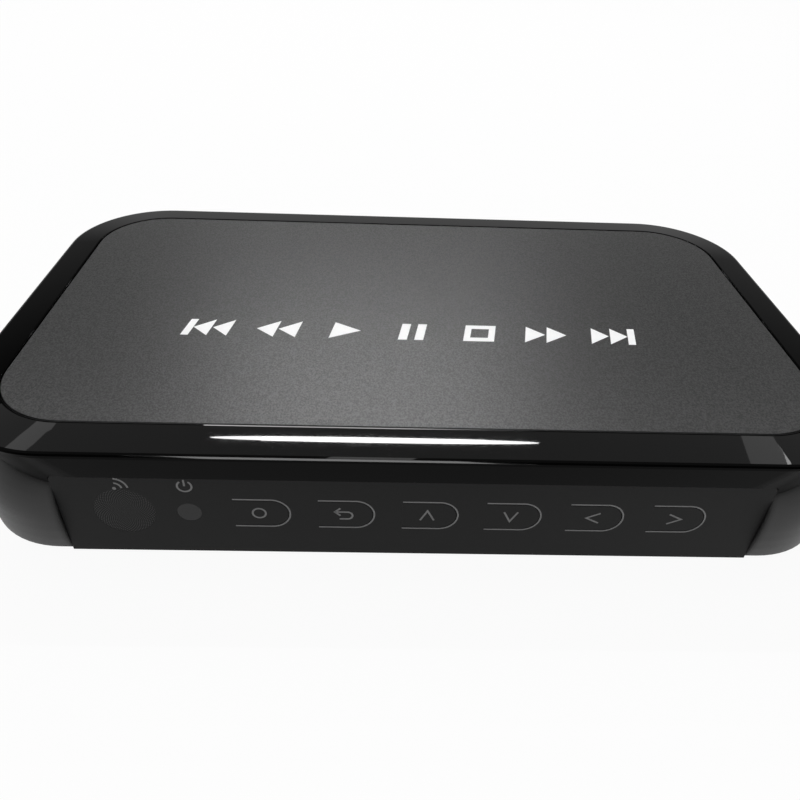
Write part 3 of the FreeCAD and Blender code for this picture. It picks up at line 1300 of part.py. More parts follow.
def tray_screw():
    """Captive screw: knurled head in the door's cup, plain shank through the post's insert."""
    body = new_body("tray_screw", lifted=False)
    bind(body, ".Placement.Base.x", "knob_place")
    bind(body, ".Placement.Base.y", f"{REAR} - cup_depth")
    bind(body, ".Placement.Base.z", "knob_level + foot_height")
    axis = [("0", "0")]
    top = "(knob_lift + knob_length)"
    discs(body, axis, "knob_radius", "knob_lift", top, plane="XZ")
    end = number(top)
    soften(body, "knob_edge", lambda edge: at_level(edge, end, "y"))
    discs(body, axis, "shank_radius", "-cup_wall - shank_length", "knob_lift", plane="XZ")
    groove = sketch(body, "XZ", "knob_lift - cut_past")
    outer = "(knob_radius + knurl_depth)"
    corners = [("knob_radius - knurl_depth", "0"), (outer, "-knurl_half"), (outer, "knurl_half")]
    polygon(groove, corners)
    spin(extrude(groove, "knob_length + 2 * cut_past", cut=True), "Y", "knurl_count")
    slot_sides = ("-knob_radius - cut_past", "knob_radius + cut_past")
    slot_ends = (f"{top} - coin_depth", f"{top} + cut_past")
    block(body, *slot_sides, *slot_ends, "-coin_slot / 2", "coin_slot / 2", cut=True)
    return body


def thread_insert():
    body = new_body("thread_insert")
    axis = [("knob_place", "knob_level")]
    rear = f"({CUP_BACK} - rib_gap)"
    discs(body, axis, "insert_radius - seat_gap", f"{rear} - insert_length", rear, plane="XZ")
    through = (f"{rear} - insert_length - cut_past", f"{rear} + cut_past")
    discs(body, axis, "shank_radius + running_gap", *through, cut=True, plane="XZ")
    return body


def housing_screws():
    body = new_body("housing_screws")
    shank = ("screw_radius - screw_slack", "head_depth", "seam_level + screw_reach")
    discs(body, HOUSING_SCREWS, *shank, drawn=octagon)
    discs(body, HOUSING_SCREWS, "head_radius", "head_depth - head_height", "head_depth")
    return body


def rubber_feet():
    body = new_body("rubber_feet")
    discs(body, FEET, "foot_radius", "-foot_height", "0")
    floor = -number("foot_height")
    soften(body, "foot_edge", lambda edge: at_level(edge, floor))
    return body


SUB_PARTS = [
    bottom_shell, top_frame, top_panel, front_panel, rear_panel, ir_window, power_lens,
    tact_switches, key_board, key_board_screws, ir_receiver, power_led, cable_sockets, key_cable,
    main_board, board_screws, processor, heat_sink, memory_chips, capacitors, inductors, crystal,
    power_inlet, power_inlet_pin, audio_jacks, hdmi_socket, hdmi_tongue, usb_socket, usb_tongues,
    drive_socket, drive_cage, cage_screws, tray_sled, tray_door, drive_base, drive_cover,
    drive_board, drive_plug, drive_screws, tray_screw, thread_insert, housing_screws, rubber_feet,
]

bodies = [make() for make in SUB_PARTS]
for place_in_row, key_name in enumerate(KEY_NAMES):
    bodies.append(key(place_in_row, key_name))
    bodies.append(plunger(place_in_row, key_name))
doc.recompute()

for item in doc.Objects:
    if "Invalid" in item.State or "Error" in item.State:
        raise RuntimeError(f"{item.Label} did not recompute: {item.State}")

for made_body in bodies:
    if made_body.Shape.isNull() or not made_body.Shape.isValid():
        raise RuntimeError(f"{made_body.Label} has no valid shape")

CUTTING = ("PartDesign::Pocket", "PartDesign::SubtractiveLoft")
for item in doc.Objects:
    if item.TypeId in CUTTING:
        if item.Shape.Volume > item.BaseFeature.Shape.Volume - 1e-6:
            raise RuntimeError(f"{item.Label} of {item.getParentGeoFeatureGroup().Label} cuts nothing")

os.makedirs("parts", exist_ok=True)
for made_body in bodies:
    made_body.Shape.exportStep(f"parts/{made_body.Label}.step")
    print(f"{made_body.Label}: {made_body.Shape.Volume:.1f} mm3, {len(made_body.Shape.Solids)} solids")
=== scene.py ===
import json
import math

import bpy
from mathutils import Matrix, Vector


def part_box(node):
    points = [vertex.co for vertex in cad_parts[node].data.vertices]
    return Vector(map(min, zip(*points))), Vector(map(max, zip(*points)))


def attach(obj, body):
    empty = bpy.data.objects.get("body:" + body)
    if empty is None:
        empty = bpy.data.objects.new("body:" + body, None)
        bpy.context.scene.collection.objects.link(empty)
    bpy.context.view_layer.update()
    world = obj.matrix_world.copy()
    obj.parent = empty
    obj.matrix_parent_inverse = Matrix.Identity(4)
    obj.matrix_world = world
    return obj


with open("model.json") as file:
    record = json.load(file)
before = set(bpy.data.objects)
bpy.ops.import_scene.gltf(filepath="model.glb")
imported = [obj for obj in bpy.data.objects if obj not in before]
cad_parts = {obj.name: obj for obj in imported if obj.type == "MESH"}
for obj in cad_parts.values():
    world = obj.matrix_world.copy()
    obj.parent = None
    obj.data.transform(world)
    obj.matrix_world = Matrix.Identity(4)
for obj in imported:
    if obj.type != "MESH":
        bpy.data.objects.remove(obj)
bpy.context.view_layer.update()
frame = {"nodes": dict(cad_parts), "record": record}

# Looks of a desktop media player: finishes, printed symbols, light and camera.
# Metres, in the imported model's own frame: +X right as the front is faced, +Y rear, +Z up.
# Prints, and the sizes whose names end in mm, are in millimetres.

nodes = frame["nodes"]
record = frame["record"]
MM = 0.001


# ---------------------------------------------------------------- shader helpers
# An owner of nodes is a material or the world.

def grey(level):
    return (level,) * 3


def node(owner, kind, **settings):
    """A new shader node; a setting is an input socket's value or else an attribute."""
    made = owner.node_tree.nodes.new("ShaderNode" + kind)
    for key, value in settings.items():
        if key in made.inputs:
            made.inputs[key].default_value = value
        else:
            setattr(made, key, value)
    return made


def link(owner, source, target):
    owner.node_tree.links.new(source, target)


def math_node(owner, operation, first, second=None):
    """The result of a math node whose inputs are each an output to link or a number."""
    made = node(owner, "Math", operation=operation)
    for socket, value in zip(made.inputs, (first, second)):
        if isinstance(value, (int, float)):
            socket.default_value = value
        elif value is not None:
            link(owner, value, socket)
    return made.outputs[0]


def ramp(owner, factor, stops, levels, curve="LINEAR"):
    """Map a factor between two stops onto two levels."""
    mapped = node(owner, "MapRange", interpolation_type=curve)
    ends = ("From Min", "From Max", "To Min", "To Max")
    for socket, value in zip(ends, (*stops, *levels)):
        mapped.inputs[socket].default_value = value
    link(owner, factor, mapped.inputs["Value"])
    return mapped.outputs["Result"]


def place(material, stretch=(1, 1, 1)):
    """The object's own coordinates, scaled along each axis."""
    mapping = node(material, "Mapping")
    mapping.inputs["Scale"].default_value = stretch
    link(material, node(material, "TexCoord").outputs["Object"], mapping.inputs["Vector"])
    return mapping.outputs["Vector"]


def noise(material, size_mm, detail=3.0, stretch=(1, 1, 1)):
    """Noise with features about size_mm across, on the object's own coordinates.

    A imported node's object sits at the origin, so these are the model's own metres.
    """
    texture = node(material, "TexNoise", Scale=1 / (size_mm * MM), Detail=detail, Roughness=0.6)
    link(material, place(material, stretch), texture.inputs["Vector"])
    return texture.outputs["Fac"]


def facing(material):
    """How far the surface looks up, from -1 to 1."""
    split = node(material, "SeparateXYZ")
    link(material, node(material, "NewGeometry").outputs["Normal"], split.inputs[0])
    return split.outputs["Z"]


def principled(material):
    return material.node_tree.nodes["Principled BSDF"]


def shader(name, color, roughness, **inputs):
    """A material with one principled shader, its sockets set by name."""
    material = bpy.data.materials.new(name)
    material.use_nodes = True
    sockets = principled(material).inputs
    sockets["Base Color"].default_value = (*color, 1)
    sockets["Roughness"].default_value = roughness
    for socket, value in inputs.items():
        sockets[socket.replace("_", " ")].default_value = value
    return material


def drive(material, socket, value):
    """Let a value that varies over the surface set a socket of the principled shader."""
    link(material, value, principled(material).inputs[socket])


def tint(material, factor, dark, light):
    """Drive the base colour between two colours."""
    mix = node(material, "Mix", data_type="RGBA")
    mix.inputs["A"].default_value = (*dark, 1)
    mix.inputs["B"].default_value = (*light, 1)
    link(material, factor, mix.inputs["Factor"])
    drive(material, "Base Color", mix.outputs["Result"])


def relief(material, height, depth_mm, strength=1.0, edge_mm=0.0):
    """Bump from a height factor, over edges rounded by edge_mm."""
    bump = node(material, "Bump", Strength=strength, Distance=depth_mm * MM)
    link(material, height, bump.inputs["Height"])
    if edge_mm:
        bevel = node(material, "Bevel", samples=6, Radius=edge_mm * MM)
        link(material, bevel.outputs["Normal"], bump.inputs["Normal"])
    drive(material, "Normal", bump.outputs["Normal"])


# ---------------------------------------------------------------- finishes

# the values between which most of a noise lies, and the range that they are spread to
GRAIN = (0.3, 0.7)
FULL = (0.0, 1.0)


def moulded(name, color, roughness, grain_mm, depth_mm, edge_mm=0.15, spread=0.35, **inputs):
    """Moulded plastic: a fine grain, along which its colour and its gloss vary."""
    swing = 0.06
    material = shader(name, color, roughness, **inputs)
    grain = noise(material, grain_mm, detail=4.0)
    dark = [c * (1 - spread) for c in color]
    light = [c * (1 + spread) for c in color]
    tint(material, ramp(material, grain, GRAIN, FULL), dark, light)
    rough = ramp(material, grain, GRAIN, (roughness - swing, roughness + swing))
    drive(material, "Roughness", rough)
    relief(material, grain, depth_mm, edge_mm=edge_mm)
    return material


def panel_plastic(name):
    """The front panel and its keys are moulded alike."""
    return moulded(name, grey(0.0122), 0.50, 0.28, 0.006, spread=0.2, Specular_IOR_Level=0.12)


def sparked(name, color, roughness):
    """Spark-eroded plate: a grain that glitters against the light, and painted shade on its edges,
    where the seam to the frame falls in shadow.
    """
    swing, glint, edge = 0.035, 2, 0.1
    material = shader(name, color, roughness, Specular_IOR_Level=0.44)
    grain = noise(material, size_mm=0.36, detail=2.5, stretch=(1, 0.7, 1))
    # painted shade: top darkens the colour to edge (a tenth) on faces that turn away from the top,
    # standing in for the shadow in the seam
    top = ramp(material, facing(material), (0.8, 0.97), (edge, 1.0))
    glitter = ramp(material, grain, (0.38, 0.62), FULL)
    levels = math_node(material, "MULTIPLY", glitter, top)
    tint(material, levels, grey(0.0), [c * glint for c in color])
    rough = ramp(material, grain, (0.35, 0.65), (roughness + swing, roughness - swing))
    drive(material, "Roughness", rough)
    relief(material, grain, depth_mm=0.04)
    return material


def polished(name, color, roughness, edge_mm=0.1, **inputs):
    """Polished plastic: faint ripple and hair marks, and satin on the faces that look down."""
    hair_rough, satin_rough = 0.05, 0.6
    material = shader(name, color, roughness, **inputs)
    ripple = noise(material, size_mm=4.0, detail=2.0, stretch=(0.25, 1, 1))
    relief(material, ripple, depth_mm=0.004, strength=0.02, edge_mm=edge_mm)
    hair = noise(material, size_mm=0.35, detail=2.0, stretch=(1, 14, 14))
    gloss = ramp(material, hair, (0.55, 0.8), (roughness, roughness + hair_rough))
    satin = ramp(material, facing(material), (-0.25, -0.05), (satin_rough, 0.0))
    drive(material, "Roughness", math_node(material, "MAXIMUM", gloss, satin))
    return material


def metal(name, color, roughness, brushed=(1, 1, 1), grain_mm=0.6, depth_mm=0.01):
    """Metal with a grain drawn out along the brushing."""
    swing, dim, lit = 0.07, 0.86, 1.1
    material = shader(name, color, roughness, Metallic=1.0)
    grain = noise(material, grain_mm, stretch=brushed)
    dark = [c * dim for c in color]
    light = [min(c * lit, 1) for c in color]
    tint(material, ramp(material, grain, GRAIN, FULL), dark, light)
    rough = ramp(material, grain, GRAIN, (roughness - swing, roughness + swing))
    drive(material, "Roughness", rough)
    relief(material, grain, depth_mm, strength=0.4, edge_mm=0.08)
    return material


def dotted_window(name):
    """Infrared window: dark plastic with rings of faint moulded dots behind its face."""
    ring_mm, spokes = 0.62, 44
    material = shader(name, grey(0.01), 0.50, Specular_IOR_Level=0.12)
    low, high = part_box("ir_window")
    shifted = node(material, "VectorMath", operation="SUBTRACT")
    shifted.inputs[1].default_value = (low + high) / 2
    link(material, node(material, "TexCoord").outputs["Object"], shifted.inputs[0])
    split = node(material, "SeparateXYZ")
    link(material, shifted.outputs["Vector"], split.inputs[0])
    squares = [math_node(material, "POWER", split.outputs[axis], 2.0) for axis in ("X", "Z")]
    reach = math_node(material, "SQRT", math_node(material, "ADD", *squares))
    turn = math_node(material, "ARCTAN2", split.outputs["Z"], split.outputs["X"])
    waves = []
    for value, rate in ((reach, math.tau / (ring_mm * MM)), (turn, spokes)):
        phase = math_node(material, "MULTIPLY", value, rate)
        waves.append(math_node(material, "SINE", phase))
    dots = ramp(material, math_node(material, "MULTIPLY", *waves), (0.1, 0.5), FULL)
    tint(material, dots, grey(0.008), grey(0.060))
    relief(material, dots, depth_mm=0.01, strength=0.2)
    return material


def solder_mask(name):
    """Circuit board: green mask over copper tracks."""
    material = shader(name, (0.02, 0.13, 0.05), 0.35)
    tracks = node(material, "TexBrick", Scale=180.0)
    tracks.inputs["Mortar Size"].default_value = 0.03
    link(material, place(material), tracks.inputs["Vector"])
    tint(material, tracks.outputs["Fac"], (0.012, 0.085, 0.03), (0.03, 0.18, 0.07))
    relief(material, tracks.outputs["Fac"], depth_mm=0.03)
    return material


# colour and roughness, and on moulded plastic the size and the depth of the grain in mm
MATERIALS = {
    "top_plate": sparked("top_plate", grey(0.021), 0.33),
    "gloss_frame": polished("gloss_frame", grey(0.001), 0.012, Specular_IOR_Level=0.052),
    "shell": moulded("shell", grey(0.017), 0.46, 0.25, 0.006, edge_mm=2.0, spread=0.15,
                     Specular_IOR_Level=0.36),
    "end_panel": panel_plastic("end_panel"),
    "key": panel_plastic("key"),
    "window": dotted_window("window"),
    "lamp_lens": moulded("lamp_lens", grey(0.031), 0.45, 0.4, 0.004, spread=0.1,
                         Specular_IOR_Level=0.2),
    "black_plastic": moulded("black_plastic", grey(0.02), 0.5, 0.3, 0.01),
    "ivory_plastic": moulded("ivory_plastic", (0.75, 0.72, 0.62), 0.45, 0.4, 0.006, spread=0.05),
    "circuit_board": solder_mask("circuit_board"),
    "chip": moulded("chip", (0.03, 0.03, 0.032), 0.55, 0.2, 0.008),
    "steel": metal("steel", (0.55, 0.55, 0.56), 0.35),
    "socket_steel": metal("socket_steel", (0.66, 0.65, 0.62), 0.28, brushed=(1, 0.15, 1)),
    "cage_steel": metal("cage_steel", (0.58, 0.59, 0.60), 0.38, brushed=(1, 0.2, 1), grain_mm=2.5),
    "drive_steel": metal("drive_steel", (0.62, 0.62, 0.63), 0.30, brushed=(1, 0.05, 1)),
    "drive_casting": metal("drive_casting", (0.50, 0.50, 0.51), 0.45, depth_mm=0.02),
    "aluminium": metal("aluminium", (0.62, 0.62, 0.63), 0.35, brushed=(1, 0.05, 1)),
    "can_aluminium": metal("can_aluminium", (0.60, 0.60, 0.61), 0.32),
    "ferrite": moulded("ferrite", (0.07, 0.07, 0.075), 0.7, 0.5, 0.03),
    "brass": metal("brass", (0.75, 0.58, 0.30), 0.28),
    "screw_chrome": metal("screw_chrome", (0.62, 0.62, 0.63), 0.18, depth_mm=0.004),
    "black_screw": metal("black_screw", grey(0.035), 0.4),
    "flat_cable": moulded("flat_cable", (0.82, 0.82, 0.80), 0.4, 1.2, 0.01, spread=0.05),
    "led": shader("led", (0.70, 0.72, 0.74), 0.1, Transmission_Weight=0.6),
    "plunger": moulded("plunger", (0.60, 0.60, 0.58), 0.45, 0.3, 0.005, spread=0.05),
    "rubber": moulded("rubber", grey(0.03), 0.8, 0.5, 0.03),
    "white_print": moulded("white_print", grey(0.95), 0.55, 0.2, 0.004, edge_mm=0.0, spread=0.04),
    "grey_print": moulded("grey_print", grey(0.19), 0.6, 0.2, 0.002, edge_mm=0.0, spread=0.1),
}

slot_of = {row["node"]: row["material_slot"] for row in record["subparts"]}
for name, obj in nodes.items():
    material = MATERIALS[slot_of[name]]
    if obj.data.materials:
        for index in range(len(obj.data.materials)):
            obj.data.materials[index] = material
    else:
        obj.data.materials.append(material)


# ---------------------------------------------------------------- flat shapes for print
# A shape is a pair: its corners, and its polygons as lists of corner numbers.

def polygon(corners):
    return corners, [list(range(len(corners)))]


def rectangle(x, y, wide, high):
    x0, x1, y0, y1 = x - wide / 2, x + wide / 2, y - high / 2, y + high / 2
    return polygon([(x0, y0), (x1, y0), (x1, y1), (x0, y1)])


def arc(x, y, radius, start, end, steps):
    """Points of an arc, angles in degrees."""
    turns = [math.radians(start + (end - start) * k / steps) for k in range(steps + 1)]
    return [(x + radius * math.cos(turn), y + radius * math.sin(turn)) for turn in turns]


def stroke(path, width, closed=False):
    """A ribbon along a path, mitred at its corners."""
    points = [Vector(point) for point in path]
    count = len(points)
    left, right = [], []
    for k, here in enumerate(points):
        runs = []
        if k or closed:
            runs.append((here - points[k - 1]).normalized())
        if k + 1 < count or closed:
            runs.append((points[(k + 1) % count] - here).normalized())
        normals = [Vector((-run.y, run.x)) for run in runs]
        mitre = sum(normals, Vector((0, 0))).normalized()
        reach = width / 2 / mitre.dot(normals[0])
        left.append(tuple(here + mitre * reach))
        right.append(tuple(here - mitre * reach))
    spans = count if closed else count - 1
    quads = [[k, count + k, count + (k + 1) % count, (k + 1) % count] for k in range(spans)]
    return left + right, quads


def lean(shapes, slope):
    """Slant shapes to the right, as on an oblique typeface."""
    return [([(x + slope * y, y) for x, y in corners], faces) for corners, faces in shapes]


def shift(shapes, dx, dy):
    return [([(x + dx, y + dy) for x, y in corners], faces) for corners, faces in shapes]


# ---------------------------------------------------------------- layers of ink

INK_THICK = 0.02
INK_SUNK = 0.01


class Face:
    """A flat face that takes print: its origin and two axes, in metres."""

    def __init__(self, origin, across, up):
        self.origin = Vector(origin)
        self.across = Vector(across)
        self.up = Vector(up)
        self.out = self.across.cross(self.up)

    def point(self, x, y, proud):
        flat = self.across * x * MM + self.up * y * MM
        return self.origin + flat + self.out * proud * MM


def prism(shapes):
    """2-D points and the faces of closed solids over shapes.

    A face's number below the count of points is a lower corner, and count more is the one above.
    """
    points, faces = [], []
    for corners, polygons in shapes:
        base = len(points)
        points += corners
        faces += [[base + k for k in numbers] for numbers in polygons]
    count = len(points)
    edges = [pair for face in faces for pair in zip(face, face[1:] + face[:1])]
    inner = set(edges)
    sides = [[a, b, b + count, a + count] for a, b in edges if (b, a) not in inner]
    under = [list(reversed(face)) for face in faces]
    over = [[k + count for k in face] for face in faces]
    return points, under + over + sides


def printed(name, face, shapes, body, ink="white_print"):
    """A thin closed layer of ink on a face, riding with a body."""
    points, faces = prism(shapes)
    low = [face.point(x, y, -INK_SUNK) for x, y in points]
    high = [face.point(x, y, INK_THICK) for x, y in points]
    mesh = bpy.data.meshes.new(name)
    mesh.from_pydata(low + high, [], faces)
    mesh.validate()
    mesh.materials.append(MATERIALS[ink])
    obj = bpy.data.objects.new(name, mesh)
    bpy.context.scene.collection.objects.link(obj)
    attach(obj, body)


# ---------------------------------------------------------------- transport symbols on the plate
# Prints are drawn in millimetres on their face; here they start from the plate's middle.

TITLE_LEFT = -59.0
TITLE_RIGHT = 58.0
TITLE_MIDDLE = -13.9
SYMBOL_ROOM = 12.0
SYMBOL_HIGH = 7.6
SYMBOL_SLANT = 0.18
LEFT, RIGHT = -1, 1


def triangle(x, wide, direction=RIGHT):
    back, tip = x - direction * wide / 2, x + direction * wide / 2
    corners = [(back, -SYMBOL_HIGH / 2), (tip, 0), (back, SYMBOL_HIGH / 2)]
    return polygon(corners if direction == RIGHT else corners[::-1])


def bar(x, wide=1.9):
    return rectangle(x, 0, wide, SYMBOL_HIGH)


def open_square(wide, line=1.7):
    half, high = wide / 2 - line / 2, SYMBOL_HIGH / 2 - line / 2
    return stroke([(-half, -high), (half, -high), (half, high), (-half, high)], line, closed=True)


TRANSPORT = {
    "previous": [bar(-5.0), triangle(-1.7, 4.6, LEFT), triangle(3.3, 4.6, LEFT)],
    "rewind": [triangle(-2.7, 5.2, LEFT), triangle(2.9, 5.2, LEFT)],
    "play": [triangle(0.3, 7.4)],
    "pause": [bar(-2.1, 2.3), bar(2.1, 2.3)],
    "stop": [open_square(8.0)],
    "forward": [triangle(-2.9, 5.2), triangle(2.7, 5.2)],
    "next": [triangle(-3.3, 4.6), triangle(1.7, 4.6), bar(5.0)],
}

plate_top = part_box("top_panel")[1].z
top_face = Face((0, 0, plate_top), (1, 0, 0), (0, 1, 0))
pitch = (TITLE_RIGHT - TITLE_LEFT - SYMBOL_ROOM) / (len(TRANSPORT) - 1)
title = []
for k, symbol in enumerate(TRANSPORT.values()):
    symbol_x = TITLE_LEFT + SYMBOL_ROOM / 2 + k * pitch
    title += shift(lean(symbol, SYMBOL_SLANT), symbol_x, TITLE_MIDDLE)
printed("title_symbols", top_face, title, "housing")


# ---------------------------------------------------------------- legends over window and lamp

LINE = 0.42
REMOTE_FROM_WINDOW = (0.6, 8.45)
POWER_FROM_LAMP = (0.0, 8.15)

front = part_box("front_panel")[0].y
front_face = Face((0, front, 0), (1, 0, 0), (0, 0, 1))


def near(name, offset):
    """A place on the panel, offset from the middle of a node."""
    low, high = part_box(name)
    middle = (low + high) / 2 / MM
    return middle.x + offset[0], middle.z + offset[1]


def remote_waves(x, z):
    """A dot and two arcs round it, for the remote control's window."""
    dot, waves = 0.42, (1.6, 2.9)
    source_x, source_z = x - 1.5, z - 1.4
    shapes = [polygon(arc(source_x, source_z, dot, 0, 330, 11))]
    for radius in waves:
        shapes.append(stroke(arc(source_x, source_z, radius, 5, 85, 10), LINE))
    return shapes


def power_symbol(x, z):
    """A ring open at the top, with a bar in the opening."""
    radius, opening, ring_down, bar_up, bar_high = 1.55, 70, 0.15, 0.85, 1.9
    start = 90 + opening / 2
    ring = arc(x, z - ring_down, radius, start, start + 360 - opening, 28)
    return [stroke(ring, LINE), rectangle(x, z + bar_up, LINE, bar_high)]


remote = remote_waves(*near("ir_window", REMOTE_FROM_WINDOW))
power = power_symbol(*near("power_lens", POWER_FROM_LAMP))
printed("remote_symbol", front_face, remote, "housing", "grey_print")
printed("power_symbol", front_face, power, "housing", "grey_print")


# ---------------------------------------------------------------- outlines and symbols of the keys

KEY_SLOT = 0.2
OUTLINE_WIDE = 0.38
GLYPH_FROM_ROOT = 5.6


def select_ring(x, z):
    radius, corners = 1.45, 36
    ring = arc(x, z, radius, 0, 360 - 360 / corners, corners - 1)
    return [stroke(ring, LINE, closed=True)]


def back_arrow(x, z):
    """A hook that turns back to the left, with an arrow head on its upper end."""
    shaft, bend, radius = z + 0.75, x + 0.9, 1.1
    tip, barb, barb_high = x - 1.95, x - 0.7, 1.15
    turn = arc(bend, shaft - radius, radius, 90, -90, 12)
    hook = [(x - 1.9, shaft), *turn, (x - 0.9, shaft - 2 * radius)]
    head = [(barb, shaft + barb_high), (tip, shaft), (barb, shaft - barb_high)]
    return [stroke(hook, LINE), stroke(head, LINE)]


def chevron(x, z, dx, dz):
    """An open arrow that points along (dx, dz)."""
    long, half = 1.5, 1.55
    tip = (x + dx * long, z + dz * long)
    ends = [(x - dx * long + s * dz * half, z - dz * long + s * dx * half) for s in (-1, 1)]
    return [stroke([ends[0], tip, ends[1]], LINE)]


GLYPHS = {
    "ok": select_ring,
    "back": back_arrow,
    "up": lambda x, z: chevron(x, z, 0, 1),
    "down": lambda x, z: chevron(x, z, 0, -1),
    "left": lambda x, z: chevron(x, z, -1, 0),
    "right": lambda x, z: chevron(x, z, 1, 0),
}

for name, glyph in GLYPHS.items():
    low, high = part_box("key_" + name)
    root, tip = low.x / MM, high.x / MM
    middle, half = (low.z + high.z) / 2 / MM, (high.z - low.z) / 2 / MM
    edge = half + KEY_SLOT + OUTLINE_WIDE / 2
    end = arc(tip - half, middle, edge, 90, -90, 24)
    outline = stroke([(root, middle + edge), *end, (root, middle - edge)], OUTLINE_WIDE)
    printed("outline_" + name, front_face, [outline], "housing", "grey_print")
    symbol = glyph(root + GLYPH_FROM_ROOT, middle)
    printed("print_" + name, front_face, symbol, "key_" + name, "grey_print")


# ---------------------------------------------------------------- floor and world

WHITE = (1, 1, 1, 1)
PAPER = (0.8, 0.8, 0.8, 1)

# the floor lies just under the feet, so that the two don't share a plane
FLOOR_REACH = 6.0
FLOOR_LEVEL = -0.02 * MM
FLOOR_GLOW = 0.94

# a rise is the height of a direction: 0 at the horizon and 1 overhead
CEILING_RISE = (0.52, 0.85)
WALL_AND_CEILING = (0.07, 0.55)
BACKDROP_RISE = (0.0, 0.42)


def in_sight(owner):
    """1 for what the camera sees straight, mirrored or through glass, and 0 for light."""
    path = node(owner, "LightPath").outputs
    mirrored = math_node(owner, "MAXIMUM", path["Is Camera Ray"], path["Is Glossy Ray"])
    return math_node(owner, "MAXIMUM", mirrored, path["Is Transmission Ray"])


def mixed(material, factor, first, second):
    """The mix of two shaders: the first at factor 0, the second at 1."""
    mix = node(material, "MixShader")
    link(material, factor, mix.inputs["Fac"])
    link(material, first, mix.inputs[1])
    link(material, second, mix.inputs[2])
    return mix.outputs[0]


def white_floor():
    """A pale floor that shows white but keeps the shadow, and is clear from below."""
    material = bpy.data.materials.new("floor")
    material.use_nodes = True
    material.node_tree.nodes.clear()
    paper = node(material, "BsdfDiffuse", Color=PAPER).outputs[0]
    glow = node(material, "Emission", Strength=1.0).outputs[0]
    share = math_node(material, "MULTIPLY", in_sight(material), FLOOR_GLOW)
    top = mixed(material, share, paper, glow)
    clear = node(material, "BsdfTransparent").outputs[0]
    below = node(material, "NewGeometry").outputs["Backfacing"]
    output = node(material, "OutputMaterial")
    link(material, mixed(material, below, top, clear), output.inputs["Surface"])
    mesh = bpy.data.meshes.new("floor")
    corners, faces = rectangle(0, 0, 2 * FLOOR_REACH, 2 * FLOOR_REACH)
    mesh.from_pydata([(x, y, FLOOR_LEVEL) for x, y in corners], [], faces)
    mesh.materials.append(material)
    floor = bpy.data.objects.new("floor", mesh)
    bpy.context.scene.collection.objects.link(floor)


def world_light():
    """Dark studio walls under a paler ceiling, with a white backdrop in sight at the horizon."""
    world = bpy.data.worlds.new("studio")
    world.use_nodes = True
    bpy.context.scene.world = world
    split = node(world, "SeparateXYZ")
    link(world, node(world, "TexCoord").outputs["Generated"], split.inputs[0])
    rise = split.outputs["Z"]
    walls = ramp(world, rise, CEILING_RISE, WALL_AND_CEILING, "SMOOTHSTEP")
    backdrop = ramp(world, rise, BACKDROP_RISE, (1.0, 0.0))
    shown = math_node(world, "MULTIPLY", backdrop, in_sight(world))
    straight = node(world, "LightPath").outputs["Is Camera Ray"]
    shown = math_node(world, "MAXIMUM", shown, straight)
    background = world.node_tree.nodes["Background"]
    background.inputs["Color"].default_value = WHITE
    link(world, math_node(world, "MAXIMUM", walls, shown), background.inputs["Strength"])


white_floor()
world_light()


# ---------------------------------------------------------------- lamps

def area_lamp(name, location, aim, wide, high, radiance, shape="RECTANGLE", roll=0.0):
    """An area lamp whose face has the given radiance; roll tips its long side, in degrees."""
    lamp = bpy.data.lights.new(name, "AREA")
    lamp.shape = shape
    lamp.size = wide
    lamp.size_y = high
    face = wide * high * (math.pi / 4 if shape == "ELLIPSE" else 1)
    lamp.energy = radiance * math.pi * face
    obj = bpy.data.objects.new(name, lamp)
    obj.location = location
    back = (Vector(location) - Vector(aim)).normalized()
    level = Vector((back.y, -back.x, 0)).normalized()
    rise = level.cross(back)
    turned = math.radians(roll)
    along = math.cos(turned) * level + math.sin(turned) * rise
    axes = Matrix((along, back.cross(along), back)).transposed()
    obj.rotation_euler = axes.to_euler()
    bpy.context.scene.collection.objects.link(obj)


# points on the gloss frame that the lamps face
BEVEL = (-0.010, -0.057, 0.033)
LEFT_CORNER = (-0.081, -0.057, 0.033)
RIGHT_CORNER = (0.075, -0.057, 0.033)

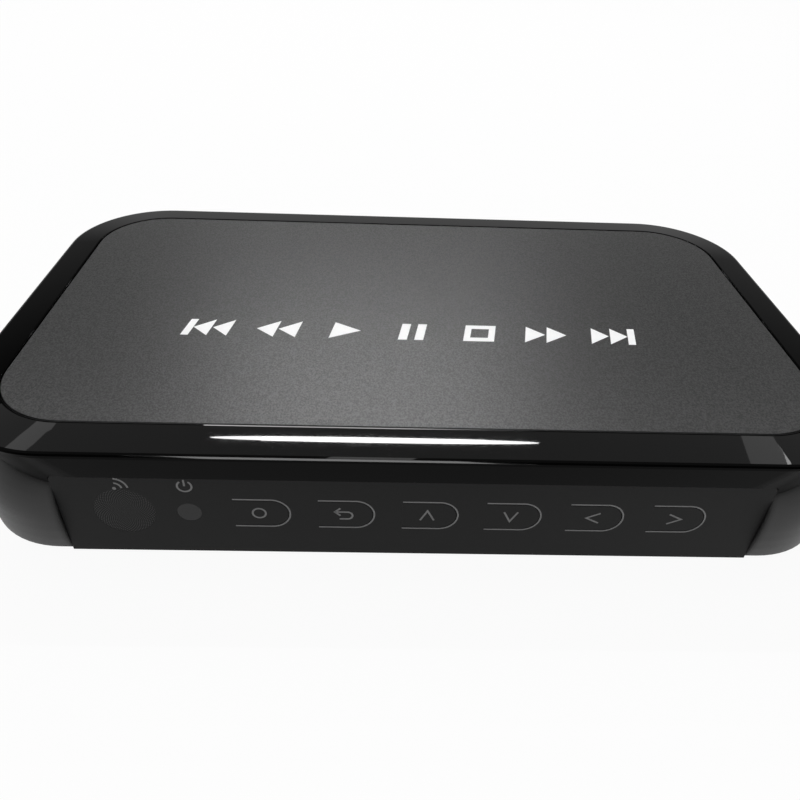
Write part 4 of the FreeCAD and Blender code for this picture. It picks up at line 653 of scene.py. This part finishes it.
# behind the object: bright lines along the bevel and the seam, and the sheen of bevel and plate
area_lamp("strip_lamp", (-0.0147, 0.6195, 1.0), BEVEL, wide=0.42, high=0.0075, radiance=80)
area_lamp("strip_ends", (-0.0105, 0.6195, 1.0), BEVEL, wide=0.618, high=0.010, radiance=200,
          shape="ELLIPSE")
area_lamp("glow_lamp", (-0.03, 1.13, 0.86), BEVEL, wide=0.62, high=0.02, radiance=44)
area_lamp("seam_lamp", (-0.03, 1.10, 1.0), BEVEL, wide=0.76, high=0.013, radiance=45)
area_lamp("soft_box", (0, 1.23, 1.58), BEVEL, wide=3.0, high=0.5, radiance=1.5)

# above and in front: the line along the crease, and light on the panel
area_lamp("crease_lamp", (-0.09, 0.14, 1.2), BEVEL, wide=0.80, high=0.06, radiance=11)
area_lamp("front_lamp", (-0.10, -1.24, 0.89), BEVEL, wide=0.93, high=0.03, radiance=40)

# windows that the frame's front corners mirror
area_lamp("left_window", (-0.67, 0.576, 0.93), LEFT_CORNER, wide=0.24, high=0.07, radiance=4.5)
area_lamp("right_window", (0.684, 0.566, 0.93), RIGHT_CORNER, wide=0.24, high=0.061, radiance=3.8,
          roll=38)
area_lamp("right_sill", (0.712, 0.552, 0.921), RIGHT_CORNER, wide=0.04, high=0.006, radiance=25,
          roll=38)


# ---------------------------------------------------------------- camera

FRAME_PIXELS = 800
FOCAL_PIXELS = 707.518
SENSOR_MM = 36.0
CAMERA_PLACE_MM = (-9.317, -170.098, 132.374)

# radians: down from level, left of straight ahead, and anticlockwise about the view
CAMERA_PITCH = 0.659505
CAMERA_YAW = -0.040442
CAMERA_ROLL = 0.044951

camera_data = bpy.data.cameras.new("camera")
camera_data.sensor_width = SENSOR_MM
camera_data.lens = FOCAL_PIXELS * SENSOR_MM / FRAME_PIXELS
camera_data.clip_start = 0.01
camera = bpy.data.objects.new("camera", camera_data)
turn = Matrix.Rotation(CAMERA_YAW, 3, "Z")
forward = turn @ Vector((0, math.cos(CAMERA_PITCH), -math.sin(CAMERA_PITCH)))
level = turn @ Vector((1, 0, 0))
above = level.cross(forward)
right = math.cos(CAMERA_ROLL) * level + math.sin(CAMERA_ROLL) * above
up = -math.sin(CAMERA_ROLL) * level + math.cos(CAMERA_ROLL) * above
axes = Matrix((right, up, -forward)).transposed().to_4x4()
camera.matrix_world = Matrix.Translation(Vector(CAMERA_PLACE_MM) * MM) @ axes
bpy.context.scene.collection.objects.link(camera)
bpy.context.scene.camera = camera
bpy.context.scene.view_settings.view_transform = "Standard"
